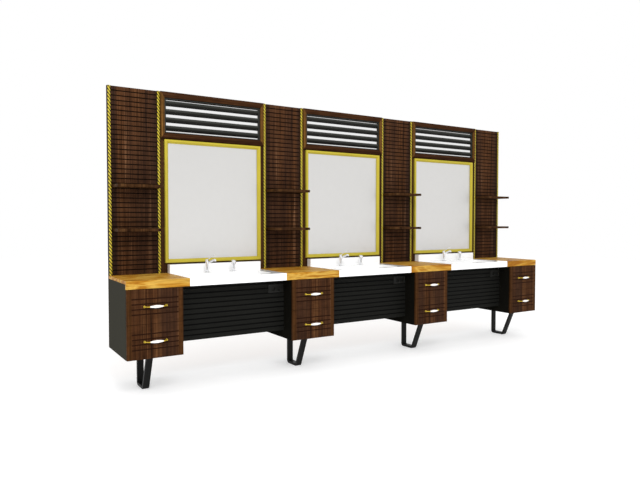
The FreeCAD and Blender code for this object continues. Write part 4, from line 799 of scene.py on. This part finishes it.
def spray(number):
    """Pull-out hand spray standing in its holder, wider at the head."""
    low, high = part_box(f"spray_{number}")
    base = Vector(((low.x + high.x) / 2, (low.y + high.y) / 2, high.z - SPRAY_TALL))
    builder = Builder()
    builder.lathe([(0, -0.0400), (0.0050, -0.0400), (0.0060, -0.0390), (0.0060, -0.0225),
                   (0.0112, -0.0220), (0.0118, -0.0210), (0.0118, 0.0), (0.0128, 0.0002),
                   (0.0130, 0.0012), (0.0127, 0.0036), (0.0117, 0.0064), (0.0111, 0.0110),
                   (0.0112, 0.0230), (0.0120, 0.0330), (0.0136, 0.0410), (0.0158, 0.0475),
                   (0.0174, 0.0524), (0.0175, 0.0530), (0.0170, 0.0536), (0.0170, 0.0544),
                   (0.0178, 0.0551), (0.0184, 0.0600), (0.0185, 0.0650), (0.0181, 0.0705),
                   (0.0169, 0.0752), (0.0146, 0.0786), (0.0122, 0.0800), (0.0112, 0.0798),
                   (0.0108, 0.0788), (0, 0.0788)], base, segments=56)
    for ring, count in ((0.0035, 6), (0.0068, 12), (0.0098, 18)):
        for step in range(count):
            turn = 2 * math.pi * step / count
            spot = base + Vector((ring * math.cos(turn), ring * math.sin(turn), 0.0786))
            builder.lathe([(0, 0), (0.0009, 0), (0.0007, 0.0009), (0, 0.0010)], spot, segments=10)
    builder.piece(f"spray_{number}_head", f"spray_{number}", "chrome",
                  f"spray_{number}", 40)


for number, box in enumerate(solid_boxes("tap_bodies"), start=1):
    foot = Vector((box[0].x + FLANGE_RADIUS, box[1].y - FLANGE_RADIUS, DECK))
    mixer(number, foot)
    cap(number, foot)
    lever(number, foot)
    spray(number)


# ---------------------------------------------------------------- drawer handles

KNOB_RADIUS = 0.0070
GRIP_DEEP = 0.0105
GRIP_HALF = 0.0436


def handle(number):
    """Brass bow from knob to knob with a porcelain grip in its middle."""
    node = f"drawer_{number}_handle"
    body = f"drawer_{number}"
    low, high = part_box(node)
    x, z = (low.x + high.x) / 2, (low.z + high.z) / 2
    line = low.y + GRIP_DEEP
    face = high.y
    builder = Builder()
    for sign in (-1, 1):
        foot = Vector((x + sign * 0.071, 0, z))
        builder.lathe([(0, face), (0.0078, face), (0.0080, face - 0.0006), (0.0074, face - 0.0016),
                       (0.0056, face - 0.0022), (0.0050, face - 0.0030), (0, face - 0.0030)],
                      foot, "Y", 32)
        knob = [(KNOB_RADIUS * math.sin(turn), -KNOB_RADIUS * math.cos(turn))
                for turn in (math.pi * step / 16 for step in range(17))]
        builder.lathe(knob, foot + Vector((0, face - 0.0075, 0)), "Y", 32)
        bow = smooth_line([(x + sign * 0.0705, face - 0.0080, z),
                           (x + sign * 0.0640, face - 0.0170, z),
                           (x + sign * 0.0565, line + 0.0045, z),
                           (x + sign * 0.0500, line + 0.0008, z),
                           (x + sign * 0.0438, line, z)], 6)
        along = np.linspace(0, 1, len(bow))
        builder.tube(bow, 0.0032 + 0.0009 * np.exp(-((along - 0.05) / 0.2) ** 2), 20, (0, 0, 1))
        neck = [(0, 0.0432), (0.0050, 0.0432), (0.0053, 0.0438), (0.0050, 0.0450),
                (0.0042, 0.0458), (0.0040, 0.0472), (0.0044, 0.0482), (0.0044, 0.0490),
                (0.0036, 0.0500), (0, 0.0500)]
        builder.lathe([(r, sign * h) for r, h in neck], Vector((x, line, z)), "X", 32)
    builder.piece(f"drawer_{number}_handle_brass", body, "handle_brass", node, 50)
    builder = Builder()
    grip = []
    for step in range(41):
        share = -1 + 2 * step / 40
        grip.append((0.0042 + 0.0055 * (1 - share * share) ** 1.3, share * GRIP_HALF))
    profile = [(0, -GRIP_HALF)] + grip + [(0, GRIP_HALF)]
    builder.lathe(profile, Vector((x, line, z)), "X", 40)
    builder.piece(f"drawer_{number}_handle_grip", body, "porcelain", node, 50)


for number in range(1, DRAWERS + 1):
    handle(number)


# ---------------------------------------------------------------- floor

FLOOR_CORNERS = ((-14, -12), (14, -12), (14, 16), (-14, 16))
builder = Builder()
builder.loft([[Vector((a, b, level)) for a, b in FLOOR_CORNERS] for level in (-0.02, 0.0)])
floor = builder.plain("floor")
floor.data.materials.append(speckled("floor", (0.75, 0.75, 0.75), 0.002, 60, 0.9, 0.0,
                                     Specular_IOR_Level=0.0, Emission_Color=(1, 1, 1, 1),
                                     Emission_Strength=0.36))
